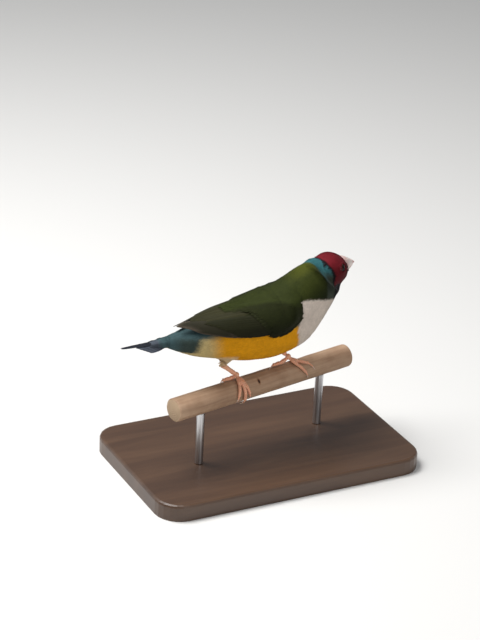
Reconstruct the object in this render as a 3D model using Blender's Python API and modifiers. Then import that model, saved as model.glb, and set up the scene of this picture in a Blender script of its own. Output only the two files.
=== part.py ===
"""A Gouldian finch, life-size, standing along a cut length of perch on a plain stand.

Metres, +Z up. The bird faces +X, its left side is +Y, and the origin is the middle of the base's underside.
"""

import math
import random

import bmesh
import bpy
import numpy as np
from mathutils import Matrix, Vector
from mathutils.bvhtree import BVHTree

MM = 0.001
GAP = 0.3 * MM

# Driving dimensions of the perch and the stand.
PERCH_RADIUS = 5.65 * MM
PERCH_LENGTH = 104 * MM
PERCH_HEIGHT = 40 * MM  # of its centre line, straight over the origin
PERCH_TURN = math.radians(12)  # to the bird's left
BASE_LENGTH, BASE_WIDTH, BASE_THICKNESS = 136 * MM, 84 * MM, 8 * MM
BASE_CORNER = 12 * MM
ROD_RADIUS = 2 * MM
ROD_PLACES = (-36 * MM, 36 * MM)  # along the perch

# Driving dimensions of the bird. Heights in its tables are over the perch's centre line.
HEAD_LENGTH = 18.6 * MM  # back of the skull to the root of the bill
HEAD_CENTRE = Vector((34.1, 3.0, 51.2)) * MM + Vector((0, 0, PERCH_HEIGHT))
HEAD_TURN = math.radians(24)  # to the bird's left
HEAD_DIP = math.radians(4)
BILL_LENGTH = 11.6 * MM
BILL_DROOP = math.radians(1.6)  # below the head's own line
EYE_RADIUS = 2.5 * MM
TAIL_TIP = -73 * MM  # of the two long middle feathers, along the body

COLOURS = {
    "red mask": (0.42, 0.03, 0.03),
    "green": (0.13, 0.20, 0.03),
    "yellow": (0.85, 0.50, 0.03),
    "slate": (0.10, 0.14, 0.18),
    "horn": (0.80, 0.70, 0.62),
    "flesh": (0.80, 0.38, 0.24),
    "eye": (0.02, 0.01, 0.01),
    "branch": (0.42, 0.30, 0.20),
    "stand wood": (0.10, 0.06, 0.04),
    "steel": (0.60, 0.60, 0.60),
}


def material(name, roughness=0.6, metallic=0.0):
    found = bpy.data.materials.get(name)
    if found:
        return found
    made = bpy.data.materials.new(name)
    made.use_nodes = True
    shader = made.node_tree.nodes["Principled BSDF"]
    shader.inputs["Base Color"].default_value = (*COLOURS[name], 1)
    shader.inputs["Roughness"].default_value = roughness
    shader.inputs["Metallic"].default_value = metallic
    return made


def new_collection(name, hidden=False):
    made = bpy.data.collections.new(name)
    bpy.context.scene.collection.children.link(made)
    made.hide_render = hidden
    return made


def add_object(name, mesh, collection):
    made = bpy.data.objects.new(name, mesh)
    collection.objects.link(made)
    return made


def through(keys, at):
    """Reads a smooth curve through keys, rows of (place, values...), at one place."""
    places = np.array([row[0] for row in keys], float)
    values = np.array([row[1:] for row in keys], float)
    slopes = np.gradient(values, places, axis=0)
    i = int(np.clip(np.searchsorted(places, at) - 1, 0, len(places) - 2))
    run = places[i + 1] - places[i]
    t = float(np.clip((at - places[i]) / run, 0, 1))
    start, end = 2 * t**3 - 3 * t**2 + 1, 3 * t**2 - 2 * t**3
    lean_in, lean_out = (t**3 - 2 * t**2 + t) * run, (t**3 - t**2) * run
    return start * values[i] + end * values[i + 1] + lean_in * slopes[i] + lean_out * slopes[i + 1]


def blend(a, b, t):
    return a + (b - a) * t


def ease(t):
    t = min(max(t, 0.0), 1.0)
    return t * t * (3 - 2 * t)


def face_out(made):
    work = bmesh.new()
    work.from_mesh(made.data)
    bmesh.ops.recalc_face_normals(work, faces=work.faces)
    if work.calc_volume(signed=True) < 0:
        bmesh.ops.reverse_faces(work, faces=work.faces)
    work.to_mesh(made.data)
    work.free()


def solid_from(name, points, faces, collection):
    mesh = bpy.data.meshes.new(name)
    mesh.from_pydata([tuple(p) for p in points], [], faces)
    mesh.update()
    made = add_object(name, mesh, collection)
    face_out(made)
    return made


def loft(name, rings, collection):
    """A closed skin over rings of points, with a flat face at each end."""
    sides = len(rings[0])
    points = [p for ring in rings for p in ring]
    faces = [tuple(range(sides))]
    for i in range(len(rings) - 1):
        for j in range(sides):
            k = (j + 1) % sides
            a, b, c, d = i * sides + j, i * sides + k, (i + 1) * sides + k, (i + 1) * sides + j
            faces += [(a, b, c), (a, c, d)]
    last = (len(rings) - 1) * sides
    faces.append(tuple(range(last, last + sides)))
    return solid_from(name, points, faces, collection)


def frozen(made):
    """Replaces the object's mesh with what its modifiers make of it."""
    bpy.context.view_layer.update()
    graph = bpy.context.evaluated_depsgraph_get()
    mesh = bpy.data.meshes.new_from_object(made.evaluated_get(graph))
    made.modifiers.clear()
    made.data = mesh
    return made


def combine(made, others, operation="UNION", solver="EXACT"):
    """Joins a list of closed objects to this one, or cuts them from it, and removes them."""
    group = new_collection(made.name + " pieces", hidden=True)
    for other in others:
        for home in list(other.users_collection):
            home.objects.unlink(other)
        group.objects.link(other)
    cut = made.modifiers.new("combine", "BOOLEAN")
    cut.operation = operation
    cut.operand_type = "COLLECTION"
    cut.collection = group
    cut.solver = solver
    frozen(made)
    for other in list(group.objects):
        bpy.data.objects.remove(other)
    bpy.data.collections.remove(group)
    return keep_largest(made)


def keep_largest(made):
    """Drops every loose scrap and sealed hollow that a union leaves."""
    work = bmesh.new()
    work.from_mesh(made.data)
    bmesh.ops.remove_doubles(work, verts=work.verts, dist=0.5e-6)
    left = set(work.verts)
    islands = []
    while left:
        todo = [left.pop()]
        island = set(todo)
        while todo:
            for edge in todo.pop().link_edges:
                for end in edge.verts:
                    if end not in island:
                        island.add(end)
                        todo.append(end)
        left -= island
        islands.append(island)
    largest = max(islands, key=len)
    spare = [v for island in islands if island is not largest for v in island]
    bmesh.ops.delete(work, geom=spare, context="VERTS")
    work.to_mesh(made.data)
    work.free()
    return made


def kept_side(made, point, normal):
    """Keeps the side of a plane that its normal points to, and closes the cut with a flat face."""
    work = bmesh.new()
    work.from_mesh(made.data)
    everything = work.verts[:] + work.edges[:] + work.faces[:]
    cut = bmesh.ops.bisect_plane(
        work, geom=everything, plane_co=point, plane_no=normal, clear_inner=True, dist=1e-7
    )
    rim = [g for g in cut["geom_cut"] if isinstance(g, bmesh.types.BMEdge)]
    bmesh.ops.edgenet_fill(work, edges=rim)
    bmesh.ops.triangulate(work, faces=[f for f in work.faces if len(f.verts) > 4])
    work.to_mesh(made.data)
    work.free()
    face_out(made)
    return made


def copy_of(made, name, collection):
    return add_object(name, made.data.copy(), collection)


def swollen(made, name, collection, by=GAP):
    """A copy grown outwards, to cut a neighbour clear of the piece."""
    copy = copy_of(made, name, collection)
    work = bmesh.new()
    work.from_mesh(copy.data)
    work.normal_update()
    moves = [(v, v.normal * by * max(1.0, v.calc_shell_factor())) for v in work.verts]
    for v, move in moves:
        v.co += move
    work.to_mesh(copy.data)
    work.free()
    return copy


def ball(name, centre, radii, collection, turn=None, sides=20, rings=12):
    mesh = bpy.data.meshes.new(name)
    work = bmesh.new()
    bmesh.ops.create_uvsphere(work, u_segments=sides, v_segments=rings, radius=1)
    shape = Matrix.Diagonal((*radii, 1))
    if turn is not None:
        shape = turn @ shape
    bmesh.ops.transform(work, matrix=Matrix.Translation(centre) @ shape, verts=work.verts)
    work.to_mesh(mesh)
    work.free()
    return add_object(name, mesh, collection)


def finish(made, slot, roughness=0.6, metallic=0.0, smooth=50):
    made.data.materials.clear()
    made.data.materials.append(material(slot, roughness, metallic))
    made.data.shade_smooth()
    made.data.set_sharp_from_angle(angle=math.radians(smooth))
    return made


def egg_ring(centre, above, side, sizes, sides, fullness=2.15):
    """One section: a slightly squared oval with its own height above and below."""
    up, down, half = sizes
    ring = []
    for j in range(sides):
        angle = 2 * math.pi * j / sides
        c, s = math.cos(angle), math.sin(angle)
        lift = math.copysign(abs(c) ** (2 / fullness), c) * (up if c > 0 else down)
        out = math.copysign(abs(s) ** (2 / fullness), s) * half
        ring.append(centre + above * lift + side * out)
    return ring


# The trunk is a row of egg-shaped sections from the tail's root to the middle of the head, in mm.
# Each row: place ahead of the origin, height, pitch in degrees, size up, size down, half width.
TRUNK = (
    (-50.0, 29.6, -4, 3.0, 3.4, 3.8),
    (-45.0, 29.0, -2, 4.6, 5.2, 5.4),
    (-39.0, 28.7, 0, 6.6, 7.6, 7.4),
    (-27.0, 28.6, 4, 9.8, 11.0, 10.4),
    (-10.5, 29.0, 8, 13.6, 15.2, 12.9),
    (3.4, 31.2, 17, 15.6, 17.1, 13.7),
    (12.6, 35.7, 30, 15.0, 17.4, 13.7),
    (19.1, 40.8, 38, 14.0, 14.8, 12.4),
    (24.6, 45.4, 41, 13.1, 12.4, 10.8),
    (29.5, 49.4, 42, 11.6, 9.8, 9.0),
)
TRUNK_SIDES = 36
TRUNK_RINGS = 44

# The skull, from its back to the root of the bill.
# Each row: share of the head's length, then up, down and half width as shares of that length.
SKULL = (
    (0.00, 0.040, 0.040, 0.040),
    (0.05, 0.225, 0.225, 0.235),
    (0.16, 0.355, 0.350, 0.355),
    (0.33, 0.450, 0.430, 0.435),
    (0.52, 0.466, 0.450, 0.455),
    (0.68, 0.412, 0.445, 0.428),
    (0.82, 0.328, 0.415, 0.372),
    (0.93, 0.250, 0.355, 0.310),
    (1.00, 0.195, 0.285, 0.250),
)
SKULL_BACK = -0.52  # the back of the skull, measured from the head's centre along its axis
SKULL_SIDES = 32
SKULL_RINGS = 26
THROAT_CENTRE = (0.7 * MM, 0, -8.4 * MM)  # ahead, left and up in the head's frame
THROAT_RADII = (5.9 * MM, 5.8 * MM, 6.6 * MM)
NAPE_CENTRE = (-8.5 * MM, 3.0 * MM, 0.4 * MM)  # fuller on the side the head turns to
NAPE_RADII = (6.7 * MM, 5.7 * MM, 6.6 * MM)


def trunk_frame(ahead):
    """Axis point, forward and up directions and the three sizes of the trunk's section at one place."""
    height, pitch, up, down, half = through(TRUNK, ahead)
    centre = Vector((ahead * MM, 0, PERCH_HEIGHT + height * MM))
    lean = math.radians(pitch)
    forward = Vector((math.cos(lean), 0, math.sin(lean)))
    above = Vector((-math.sin(lean), 0, math.cos(lean)))
    return centre, forward, above, (up * MM, down * MM, half * MM)


def trunk(collection):
    rings = []
    for i in range(TRUNK_RINGS + 1):
        centre, _, above, sizes = trunk_frame(blend(TRUNK[0][0], TRUNK[-1][0], i / TRUNK_RINGS))
        rings.append(egg_ring(centre, above, Vector((0, 1, 0)), sizes, TRUNK_SIDES))
    return loft("trunk", rings, collection)


def head_axes(droop=0.0):
    """Forward, left and up directions of the head, or of the bill with its droop."""
    dip = HEAD_DIP + droop
    flat = Vector((math.cos(HEAD_TURN), math.sin(HEAD_TURN), 0))
    left = Vector((-math.sin(HEAD_TURN), math.cos(HEAD_TURN), 0))
    forward = flat * math.cos(dip) - Vector((0, 0, math.sin(dip)))
    return forward, left, forward.cross(left)


def on_head(ahead, left, up):
    """A point of the head's own frame, in the model's."""
    forward, side, above = head_axes()
    return HEAD_CENTRE + forward * ahead + side * left + above * up


def turned_to(forward, left, above):
    return Matrix((forward, left, above)).transposed().to_4x4()


def skull(collection):
    forward, left, above = head_axes()
    made = []
    for i in range(SKULL_RINGS + 1):
        share = i / SKULL_RINGS
        centre = HEAD_CENTRE + forward * (SKULL_BACK + share) * HEAD_LENGTH
        sizes = [x * HEAD_LENGTH for x in through(SKULL, share)]
        made.append(egg_ring(centre, above, left, sizes, SKULL_SIDES, fullness=2.05))
    return loft("skull", made, collection)


BODY_VOXEL = 0.8 * MM
BODY_TRIANGLES = 3320


def whole_body(collection):
    """Trunk, skull, throat and nape run into one smooth form, which the cuts then part."""
    made = trunk(collection)
    turn = turned_to(*head_axes())
    others = [skull(collection), ball("throat", on_head(*THROAT_CENTRE), THROAT_RADII, collection, turn)]
    others.append(ball("nape", on_head(*NAPE_CENTRE), NAPE_RADII, collection, turn))
    work = bmesh.new()
    for piece in (made, *others):
        work.from_mesh(piece.data)
    work.to_mesh(made.data)
    work.free()
    for other in others:
        bpy.data.objects.remove(other)
    melt = made.modifiers.new("melt", "REMESH")
    melt.mode = "VOXEL"
    melt.voxel_size = BODY_VOXEL
    soften = made.modifiers.new("soften", "SMOOTH")
    soften.factor = 0.6
    soften.iterations = 10
    frozen(made)
    thin = made.modifiers.new("thin", "DECIMATE")
    thin.ratio = BODY_TRIANGLES / (2 * len(made.data.polygons))
    thin.use_collapse_triangulate = True
    frozen(made)
    made.name = "whole"
    return made


# The cuts that part the body: each is a plane across it.
NECK_CUT = 14.0  # mm ahead, on the trunk's axis
HEAD_CUT_PITCH = math.radians(34)
HEAD_CUT_TURN = math.radians(12)
HEAD_CUT_BACK = 5.4 * MM  # behind the head's centre
BILL_CUT = 0.425 * HEAD_LENGTH  # ahead of the head's centre
BILL_CUT_LEAN = math.radians(11)  # the root of the bill lies further back at its ridge


def cut_planes():
    """(point, normal) of the cuts between torso and neck, between neck and head, and at the bill."""
    centre, forward, _, _ = trunk_frame(NECK_CUT)
    level = Vector((math.cos(HEAD_CUT_TURN), math.sin(HEAD_CUT_TURN), 0)) * math.cos(HEAD_CUT_PITCH)
    to_head = level + Vector((0, 0, math.sin(HEAD_CUT_PITCH)))
    bill_forward, _, bill_above = head_axes(BILL_DROOP)
    to_bill = bill_forward * math.cos(BILL_CUT_LEAN) + bill_above * math.sin(BILL_CUT_LEAN)
    at_head = HEAD_CENTRE - to_head * HEAD_CUT_BACK
    at_bill = HEAD_CENTRE + bill_forward * BILL_CUT
    return (centre, forward), (at_head, to_head), (at_bill, to_bill)


# The eye, in the head's frame.
EYE_AHEAD, EYE_UP, EYE_OUT = -0.2 * MM, 2.4 * MM, 5.6 * MM
LID_RADIUS, LID_THICKNESS = 2.15 * MM, 0.42 * MM
LID_OUT = 1.35 * MM  # from the eye's centre, outwards


def eye_centre(side):
    return on_head(EYE_AHEAD, side * EYE_OUT, EYE_UP)


def eye_outward(side):
    """The way an eye looks: mostly sideways, a little ahead and up."""
    forward, left, above = head_axes()
    return (left * side * 0.93 + forward * 0.33 + above * 0.14).normalized()


def lid_ring(name, side, collection):
    """A thick ring round the eye, a little longer than it is tall."""
    forward, _, above = head_axes()
    out = eye_outward(side)
    along = (forward - out * forward.dot(out)).normalized()
    up = out.cross(along)
    centre = eye_centre(side) + out * LID_OUT
    rows, sides = 20, 8
    points, faces = [], []
    for i in range(rows):
        angle = 2 * math.pi * i / rows
        rim = along * math.cos(angle) * 1.1 + up * math.sin(angle) * 0.95
        for j in range(sides):
            turn = 2 * math.pi * j / sides
            away = rim * (LID_RADIUS + LID_THICKNESS * math.cos(turn))
            points.append(centre + away + out * LID_THICKNESS * 1.5 * math.sin(turn))
    for i in range(rows):
        for j in range(sides):
            a, b = i * sides + j, i * sides + (j + 1) % sides
            c = ((i + 1) % rows) * sides + (j + 1) % sides
            d = ((i + 1) % rows) * sides + j
            faces += [(a, b, c), (a, c, d)]
    return solid_from(name, points, faces, collection)


# The bill, from its root to its tip.
# Each row: share of its length, then up, down and half width as shares of that length.
BILL = (
    (-0.20, 0.470, 0.400, 0.395),
    (0.00, 0.445, 0.390, 0.385),
    (0.15, 0.405, 0.362, 0.350),
    (0.35, 0.325, 0.300, 0.275),
    (0.55, 0.235, 0.222, 0.200),
    (0.75, 0.135, 0.138, 0.118),
    (0.90, 0.047, 0.072, 0.054),
    (1.00, -0.004, 0.035, 0.016),
)
BILL_SIDES = 18
BILL_RINGS = 13
MOUTH_DROP = 0.6 * MM  # of the mouth's line under the bill's axis
NOSTRIL_RADII = (0.75 * MM, 0.5 * MM, 0.5 * MM)
NOSTRIL_AHEAD, NOSTRIL_OUT, NOSTRIL_UP = 0.9 * MM, 2.45 * MM, 3.7 * MM


def bill_whole(collection):
    forward, left, above = head_axes(BILL_DROOP)
    root = HEAD_CENTRE + forward * (BILL_CUT + GAP / 2)
    rings = []
    for i in range(BILL_RINGS + 1):
        share = blend(BILL[0][0], 1, i / BILL_RINGS)
        sizes = [x * BILL_LENGTH for x in through(BILL, share)]
        rings.append(egg_ring(root + forward * share * BILL_LENGTH, above, left, sizes, BILL_SIDES))
    return loft("bill", rings, collection)


def bill(collection):
    """Two mandibles that meet at the line of the mouth, with a nostril in each side of the upper one."""
    whole = bill_whole(collection)
    _, _, (bill_at, bill_to) = cut_planes()
    kept_side(whole, bill_at + bill_to * GAP / 2, bill_to)
    forward, left, above = head_axes(BILL_DROOP)
    mouth = HEAD_CENTRE - above * MOUTH_DROP
    upper = copy_of(whole, "bill_upper", collection)
    lower = copy_of(whole, "bill_lower", collection)
    kept_side(upper, mouth + above * GAP / 2, above)
    kept_side(lower, mouth - above * GAP / 2, -above)
    pits = []
    for side in (-1, 1):
        at = HEAD_CENTRE + forward * (BILL_CUT + NOSTRIL_AHEAD)
        at += left * side * NOSTRIL_OUT + above * NOSTRIL_UP
        pits.append(ball("pit", at, NOSTRIL_RADII, collection, turned_to(forward, left, above), 8, 6))
    combine(upper, pits, "DIFFERENCE")
    bpy.data.objects.remove(whole)
    finish(upper, "horn", 0.35)
    finish(lower, "horn", 0.35)


def head_and_neck(body, collection):
    """Parts the body into torso, neck and head, and sets the eyes in the head."""
    (neck_at, neck_to), (head_at, head_to), (bill_at, bill_to) = cut_planes()
    half = GAP / 2
    torso = kept_side(copy_of(body, "torso", collection), neck_at - neck_to * half, -neck_to)
    neck = kept_side(copy_of(body, "neck", collection), neck_at + neck_to * half, neck_to)
    kept_side(neck, head_at - head_to * half, -head_to)
    head = kept_side(copy_of(body, "head", collection), head_at + head_to * half, head_to)
    kept_side(head, bill_at - bill_to * half, -bill_to)
    names = {-1: "right", 1: "left"}
    combine(head, [lid_ring("lid", side, collection) for side in names])
    holes = []
    for side, name in names.items():
        size = EYE_RADIUS + GAP
        holes.append(ball("hole", eye_centre(side), [size] * 3, collection, sides=16, rings=10))
        eye = ball("eye_" + name, eye_centre(side), [EYE_RADIUS] * 3, collection, sides=16, rings=10)
        finish(eye, "eye", 0.05)
    combine(head, holes, "DIFFERENCE")
    finish(torso, "green")
    finish(neck, "green")
    finish(head, "red mask")
    return torso


# The folded wing is a shell of its own over the body, in mm.
# Each row: place ahead, height of its axis, half width, size up, angle of the upper and the lower
# edge from straight up, thickness. Behind the last row that hugs the body it runs on to the tip.
WING = (
    (-22.0, 30.4, 13.2, 11.8, 3, 83, 1.5),
    (-10.5, 31.0, 15.2, 13.4, 9, 86, 1.9),
    (0.0, 32.8, 15.9, 14.4, 19, 90, 2.1),
    (7.0, 35.4, 15.6, 14.0, 33, 92, 2.0),
    (11.5, 37.8, 14.6, 13.4, 48, 86, 1.5),
)
WING_REAR, WING_FRONT = WING[0][0], WING[-1][0]
WING_TIP_AHEAD = -46.5
WING_TIP_TOP = (0.9, 37.8)  # out from the middle and height of the folded tip's upper edge
WING_TIP_LOW = (3.4, 34.9)  # the same of its lower edge
WING_CORE_END = -37.0
WING_CORE_ROUND = 6.0  # how far the shell's rear end draws forward at its two edges
WING_FRONT_ROUND = 2.5  # how far its front end draws back there
BODY_CLEAR = 0.42 * MM


def wing_section(ahead, across):
    """Out and height of the wing's outer face where it hugs the body."""
    height, half, up, top, low, _ = through(WING, ahead)
    angle = math.radians(blend(top, low, across))
    return np.array([math.sin(angle) * half, height + math.cos(angle) * up])


def wing_skin(ahead, across, side):
    """A point of the folded wing's outer face. across is 0 at its upper edge and 1 at the lower one."""
    held = max(ahead, WING_REAR)
    place = wing_section(held, across)
    if ahead < held:
        run = held - WING_TIP_AHEAD
        t = (held - ahead) / run
        end = blend(np.array(WING_TIP_TOP), np.array(WING_TIP_LOW), across)
        lean = (place - wing_section(held + 1, across)) * run
        straight = end - place
        place = (
            (2 * t**3 - 3 * t**2 + 1) * place
            + (t**3 - 2 * t**2 + t) * lean
            + (3 * t**2 - 2 * t**3) * end
            + (t**3 - t**2) * straight
        )
    return Vector((ahead, side * place[0], place[1] + PERCH_HEIGHT / MM)) * MM


def wing_normal(ahead, across, side):
    along = wing_skin(ahead + 0.5, across, side) - wing_skin(ahead - 0.5, across, side)
    down = wing_skin(ahead, across + 0.03, side) - wing_skin(ahead, across - 0.03, side)
    return (along.cross(down) * side).normalized()


def clear_of(tree, point, outward):
    """Moves a point out until it is clear of the body."""
    hit, normal, _, _ = tree.find_nearest(point)
    if (point - hit).dot(normal) >= BODY_CLEAR:
        return point
    return hit + (outward if normal.dot(outward) > 0.3 else normal) * BODY_CLEAR


def wing_core(name, side, tree, collection, rows=15, columns=7):
    """The wing's closed shell under its feathers."""
    outer, inner = [], []
    for i in range(rows):
        for j in range(columns):
            across = j / (columns - 1)
            off = abs(2 * across - 1)
            rear, front = WING_CORE_END + WING_CORE_ROUND * off**2, WING_FRONT - WING_FRONT_ROUND * off**4
            ahead = blend(rear, front, i / (rows - 1))
            behind = max(0, (WING_REAR - ahead) / (WING_REAR - WING_CORE_END))
            thick = blend(through(WING, max(ahead, WING_REAR))[5], 0.8, behind) * MM
            normal = wing_normal(ahead, across, side)
            point = wing_skin(ahead, across, side)
            inside = clear_of(tree, point - normal * thick, normal)
            edge = min(1, 0.35 + 2.6 * min(across, 1 - across), 0.35 + 0.25 * (front - ahead))
            outer.append(inside + normal * max(0.5 * MM, (point - inside).dot(normal) * edge))
            inner.append(inside)
    count = rows * columns
    faces = []
    for i in range(rows - 1):
        for j in range(columns - 1):
            a, b = i * columns + j, i * columns + j + 1
            c, d = b + columns, a + columns
            faces += [(a, b, c), (a, c, d)]
            faces += [(count + a, count + c, count + b), (count + a, count + d, count + c)]
    rim = list(range(columns))
    rim += [i * columns + columns - 1 for i in range(1, rows)]
    rim += [(rows - 1) * columns + j for j in range(columns - 2, -1, -1)]
    rim += [i * columns for i in range(rows - 2, 0, -1)]
    for a, b in zip(rim, rim[1:] + rim[:1]):
        faces += [(a, count + a, count + b), (a, count + b, b)]
    return solid_from(name, outer + inner, faces, collection)


VANE_THICKNESS = 0.56 * MM


def vane_half(share, half, point=0.0):
    """Half width of a feather along its length: a narrow root, parallel sides and a rounded tip."""
    grown = half * (0.6 + 0.4 * ease(share / 0.45))
    left = min(1, (1 - share) / (0.3 + point))
    return max(grown * math.sqrt(max(0, 1 - (1 - left) ** 2)), 0.16 * half)


def vane(path, half, collection, point=0.0, steps=4):
    """One tapered feather, thickest along its shaft. path gives its centre, across and outward."""
    points, faces = [], []
    for i in range(steps + 1):
        share = i / steps
        centre, across, out = path(share)
        reach = across * vane_half(share, half, point)
        rise = out * VANE_THICKNESS / 2 * (1 - 0.45 * share)
        points += [centre - reach, centre + rise, centre + reach, centre - rise]
    for i in range(steps):
        a, b = 4 * i, 4 * i + 4
        for edge in (0, 2):
            for ridge in (1, 3):
                faces += [(a + edge, a + ridge, b + ridge), (a + edge, b + ridge, b + edge)]
    last = 4 * steps
    faces += [(0, 1, 3), (1, 2, 3), (last, last + 1, last + 3), (last + 1, last + 2, last + 3)]
    return solid_from("vane", points, faces, collection)


def wing_path(side, root, tip, lifts):
    """The way of a feather over the wing, from (ahead, across) at its root to the same at its tip."""

    def spot(share):
        place, across = blend(root[0], tip[0], share), blend(root[1], tip[1], share)
        out = wing_normal(place, across, side)
        return wing_skin(place, across, side) + out * blend(*lifts, share) * MM, out

    def path(share):
        centre, out = spot(share)
        along = (spot(min(share + 0.02, 1))[0] - spot(max(share - 0.02, 0))[0]).normalized()
        return centre, out.cross(along).normalized(), out

    return path


# Feathers of one wing in tiers, each tier spread evenly from its first to its last feather.
# Each: how many, root (ahead, across) and tip (ahead, across) of the first, the same of the last,
# half width in mm, lift off the wing at root and tip in mm, steps along a feather.
TIERS = {
    "primary": (6, ((-14, 0.98), (-36.0, 0.98)), ((-20, 0.70), (-46.3, 0.46)), 1.7, (-0.30, 0.10), 4),
    "secondary": (5, ((-2, 0.93), (-19.5, 0.90)), ((-6, 0.52), (-30.0, 0.50)), 1.75, (-0.25, 0.28), 4),
    "tertial": (3, ((-6, 0.44), (-25.5, 0.42)), ((-8, 0.22), (-33.5, 0.20)), 2.1, (-0.25, 0.42), 4),
    "greater covert": (6, ((4, 0.90), (-5.0, 0.92)), ((4, 0.34), (-12.5, 0.36)), 1.9, (-0.25, 0.34), 3),
    "median covert": (5, ((9.0, 0.88), (2.0, 0.90)), ((7, 0.30), (-3.5, 0.32)), 2.0, (-0.3, 0.42), 3),
    "scapular": (3, ((3, 0.20), (-7.5, 0.22)), ((-3, 0.10), (-17.0, 0.12)), 2.0, (-0.25, 0.40), 3),
}


def wing(name, side, tree, collection):
    draw = random.Random(14)
    made = wing_core(name, side, tree, collection)
    vanes = []
    for count, first, last, half, lifts, steps in TIERS.values():
        for i in range(count):
            share = i / (count - 1)
            root = [blend(a, b, share) for a, b in zip(first[0], last[0])]
            tip = [blend(a, b, share) for a, b in zip(first[1], last[1])]
            tip[0] += draw.uniform(-0.4, 0.4)
            stacked = [lift + 0.05 * i for lift in lifts]
            path = wing_path(side, root, tip, stacked)
            vanes.append(vane(path, half * draw.uniform(0.96, 1.04) * MM, collection, steps=steps))
    return combine(made, vanes)


# The tail, in mm along the body and over the perch.
TAIL_HEIGHT = 29.7
# The coverts that hold the feathers. Each row: place ahead, half width, size up, size down.
TAIL_BLOCK = (
    (-50.35, 3.4, 2.7, 3.1),
    (-54.0, 3.0, 2.1, 2.5),
    (-58.5, 2.0, 1.1, 1.5),
)
TAIL_PAIRS = 5
TAIL_ROOT = -52.0


def tail_path(start, end, tilt):
    """A straight feather from start to end, in mm, tilted outwards about its shaft."""
    a, b = (Vector((x, y, z + PERCH_HEIGHT / MM)) * MM for x, y, z in (start, end))
    along = (b - a).normalized()
    out = Vector((0, math.sin(tilt), math.cos(tilt)))
    across = out.cross(along).normalized()
    return lambda share: (a.lerp(b, share), across, along.cross(across).normalized())


def tail(collection):
    """Twelve feathers in a closed fan, where the outer ones lie lower and the middle two are long points."""
    rings = []
    for ahead, half, up, down in TAIL_BLOCK:
        centre = Vector((ahead * MM, 0, PERCH_HEIGHT + TAIL_HEIGHT * MM))
        sizes = [v * MM for v in (up, down, half)]
        rings.append(egg_ring(centre, Vector((0, 0, 1)), Vector((0, 1, 0)), sizes, 14))
    made = loft("tail", rings, collection)
    vanes = []
    for side in (-1, 1):
        for k in range(TAIL_PAIRS):
            inner = k / (TAIL_PAIRS - 1)
            start = (TAIL_ROOT, side * blend(1.5, 0.7, inner), TAIL_HEIGHT + blend(-1.3, 0.5, inner))
            tip_ahead = blend(-60.6, -66.0, inner)
            end = (tip_ahead, side * blend(3.0, 1.15, inner), TAIL_HEIGHT + blend(-1.9, 0.15, inner))
            vanes.append(vane(tail_path(start, end, side * 0.22), blend(1.5, 1.35, inner) * MM, collection))
        start = (TAIL_ROOT, side * 0.62, TAIL_HEIGHT + 1.15)
        end = (TAIL_TIP / MM, side * 0.42, TAIL_HEIGHT + 0.55)
        vanes.append(vane(tail_path(start, end, side * 0.1), 1.25 * MM, collection, point=0.6, steps=8))
    return finish(combine(made, vanes), "slate")


def perch_axes():
    along = Vector((math.cos(PERCH_TURN), math.sin(PERCH_TURN), 0))
    near = Vector((math.sin(PERCH_TURN), -math.cos(PERCH_TURN), 0))
    return along, near


def by_perch(along_mm, angle_degrees, off):
    """A point round the perch: its place along, its angle from the top to the bird's right, and its
    distance off the perch's face."""
    along, near = perch_axes()
    angle = math.radians(angle_degrees)
    reach = PERCH_RADIUS + off
    way = near * math.sin(angle) + Vector((0, 0, 1)) * math.cos(angle)
    return Vector((0, 0, PERCH_HEIGHT)) + along * along_mm * MM + way * reach


def tube(name, points, radii, collection, sides=8):
    """A round bar of changing radius along points, closed at both ends."""
    rings = []
    last_side = None
    for i, (point, radius) in enumerate(zip(points, radii)):
        before, after = points[max(i - 1, 0)], points[min(i + 1, len(points) - 1)]
        way = (after - before).normalized()
        hint = last_side or (Vector((0, 0, 1)) if abs(way.z) < 0.8 else Vector((0, 1, 0)))
        side = (hint - way * hint.dot(way)).normalized()
        last_side = side
        other = way.cross(side)
        rings.append([
            point + (side * math.cos(a) + other * math.sin(a)) * radius
            for a in (2 * math.pi * j / sides for j in range(sides))
        ])
    return loft(name, rings, collection)


# Feet. Each toe runs from the foot's hub over the perch: places are along the perch in mm from the
# hub and degrees from its top towards the bird's right, first where the toe ends, then the claw's tip.
# The arch is how far the hub stands off the perch, in mm.
FEET = {
    "right": {
        "hub": -15.9,
        "arch": 0.5,
        "toes": {
            "middle": ((0.7, 112), (0.2, 150)),
            "inner": ((3.2, 88), (3.8, 122)),
            "outer": ((-3.2, 86), (-4.2, 120)),
            "hind": ((-6.8, -12), (-10.2, 4)),
        },
        "heel": (-23.9, -5.2, 15.6),
        "thigh": (-15.5, -6.2, 24.0),
    },
    "left": {
        "hub": 15.3,
        "arch": 1.5,
        "toes": {
            "middle": ((9.0, 40), (12.4, 78)),
            "inner": ((6.0, 72), (8.0, 108)),
            "outer": ((7.4, -58), (8.6, -98)),
            "hind": ((-8.4, -6), (-12.4, 10)),
        },
        "heel": (8.6, 6.4, 15.2),
        "thigh": (12.5, 6.2, 24.0),
    },
}
TOE_RADII = {"middle": 1.02 * MM, "inner": 0.96 * MM, "outer": 0.96 * MM, "hind": 1.08 * MM}
HUB_RADIUS = 1.75 * MM
SHANK_RADIUS = 1.08 * MM
THIGH_RADII = (4.2 * MM, 1.5 * MM)
CLAW_RADIUS = 0.52 * MM


def hub_centre(foot):
    return by_perch(foot["hub"], 0, GAP + HUB_RADIUS + foot["arch"] * MM)


def toe_path(foot, reach, radius, share):
    """A point of a toe's centre line, which hugs the perch once it has left the hub."""
    along = foot["hub"] + reach[0] * share
    angle = reach[1] * share
    arch = foot["arch"] * max(0, 1 - share / 0.45) * MM
    return by_perch(along, angle, GAP + 0.05 * MM + radius + arch)


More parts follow.
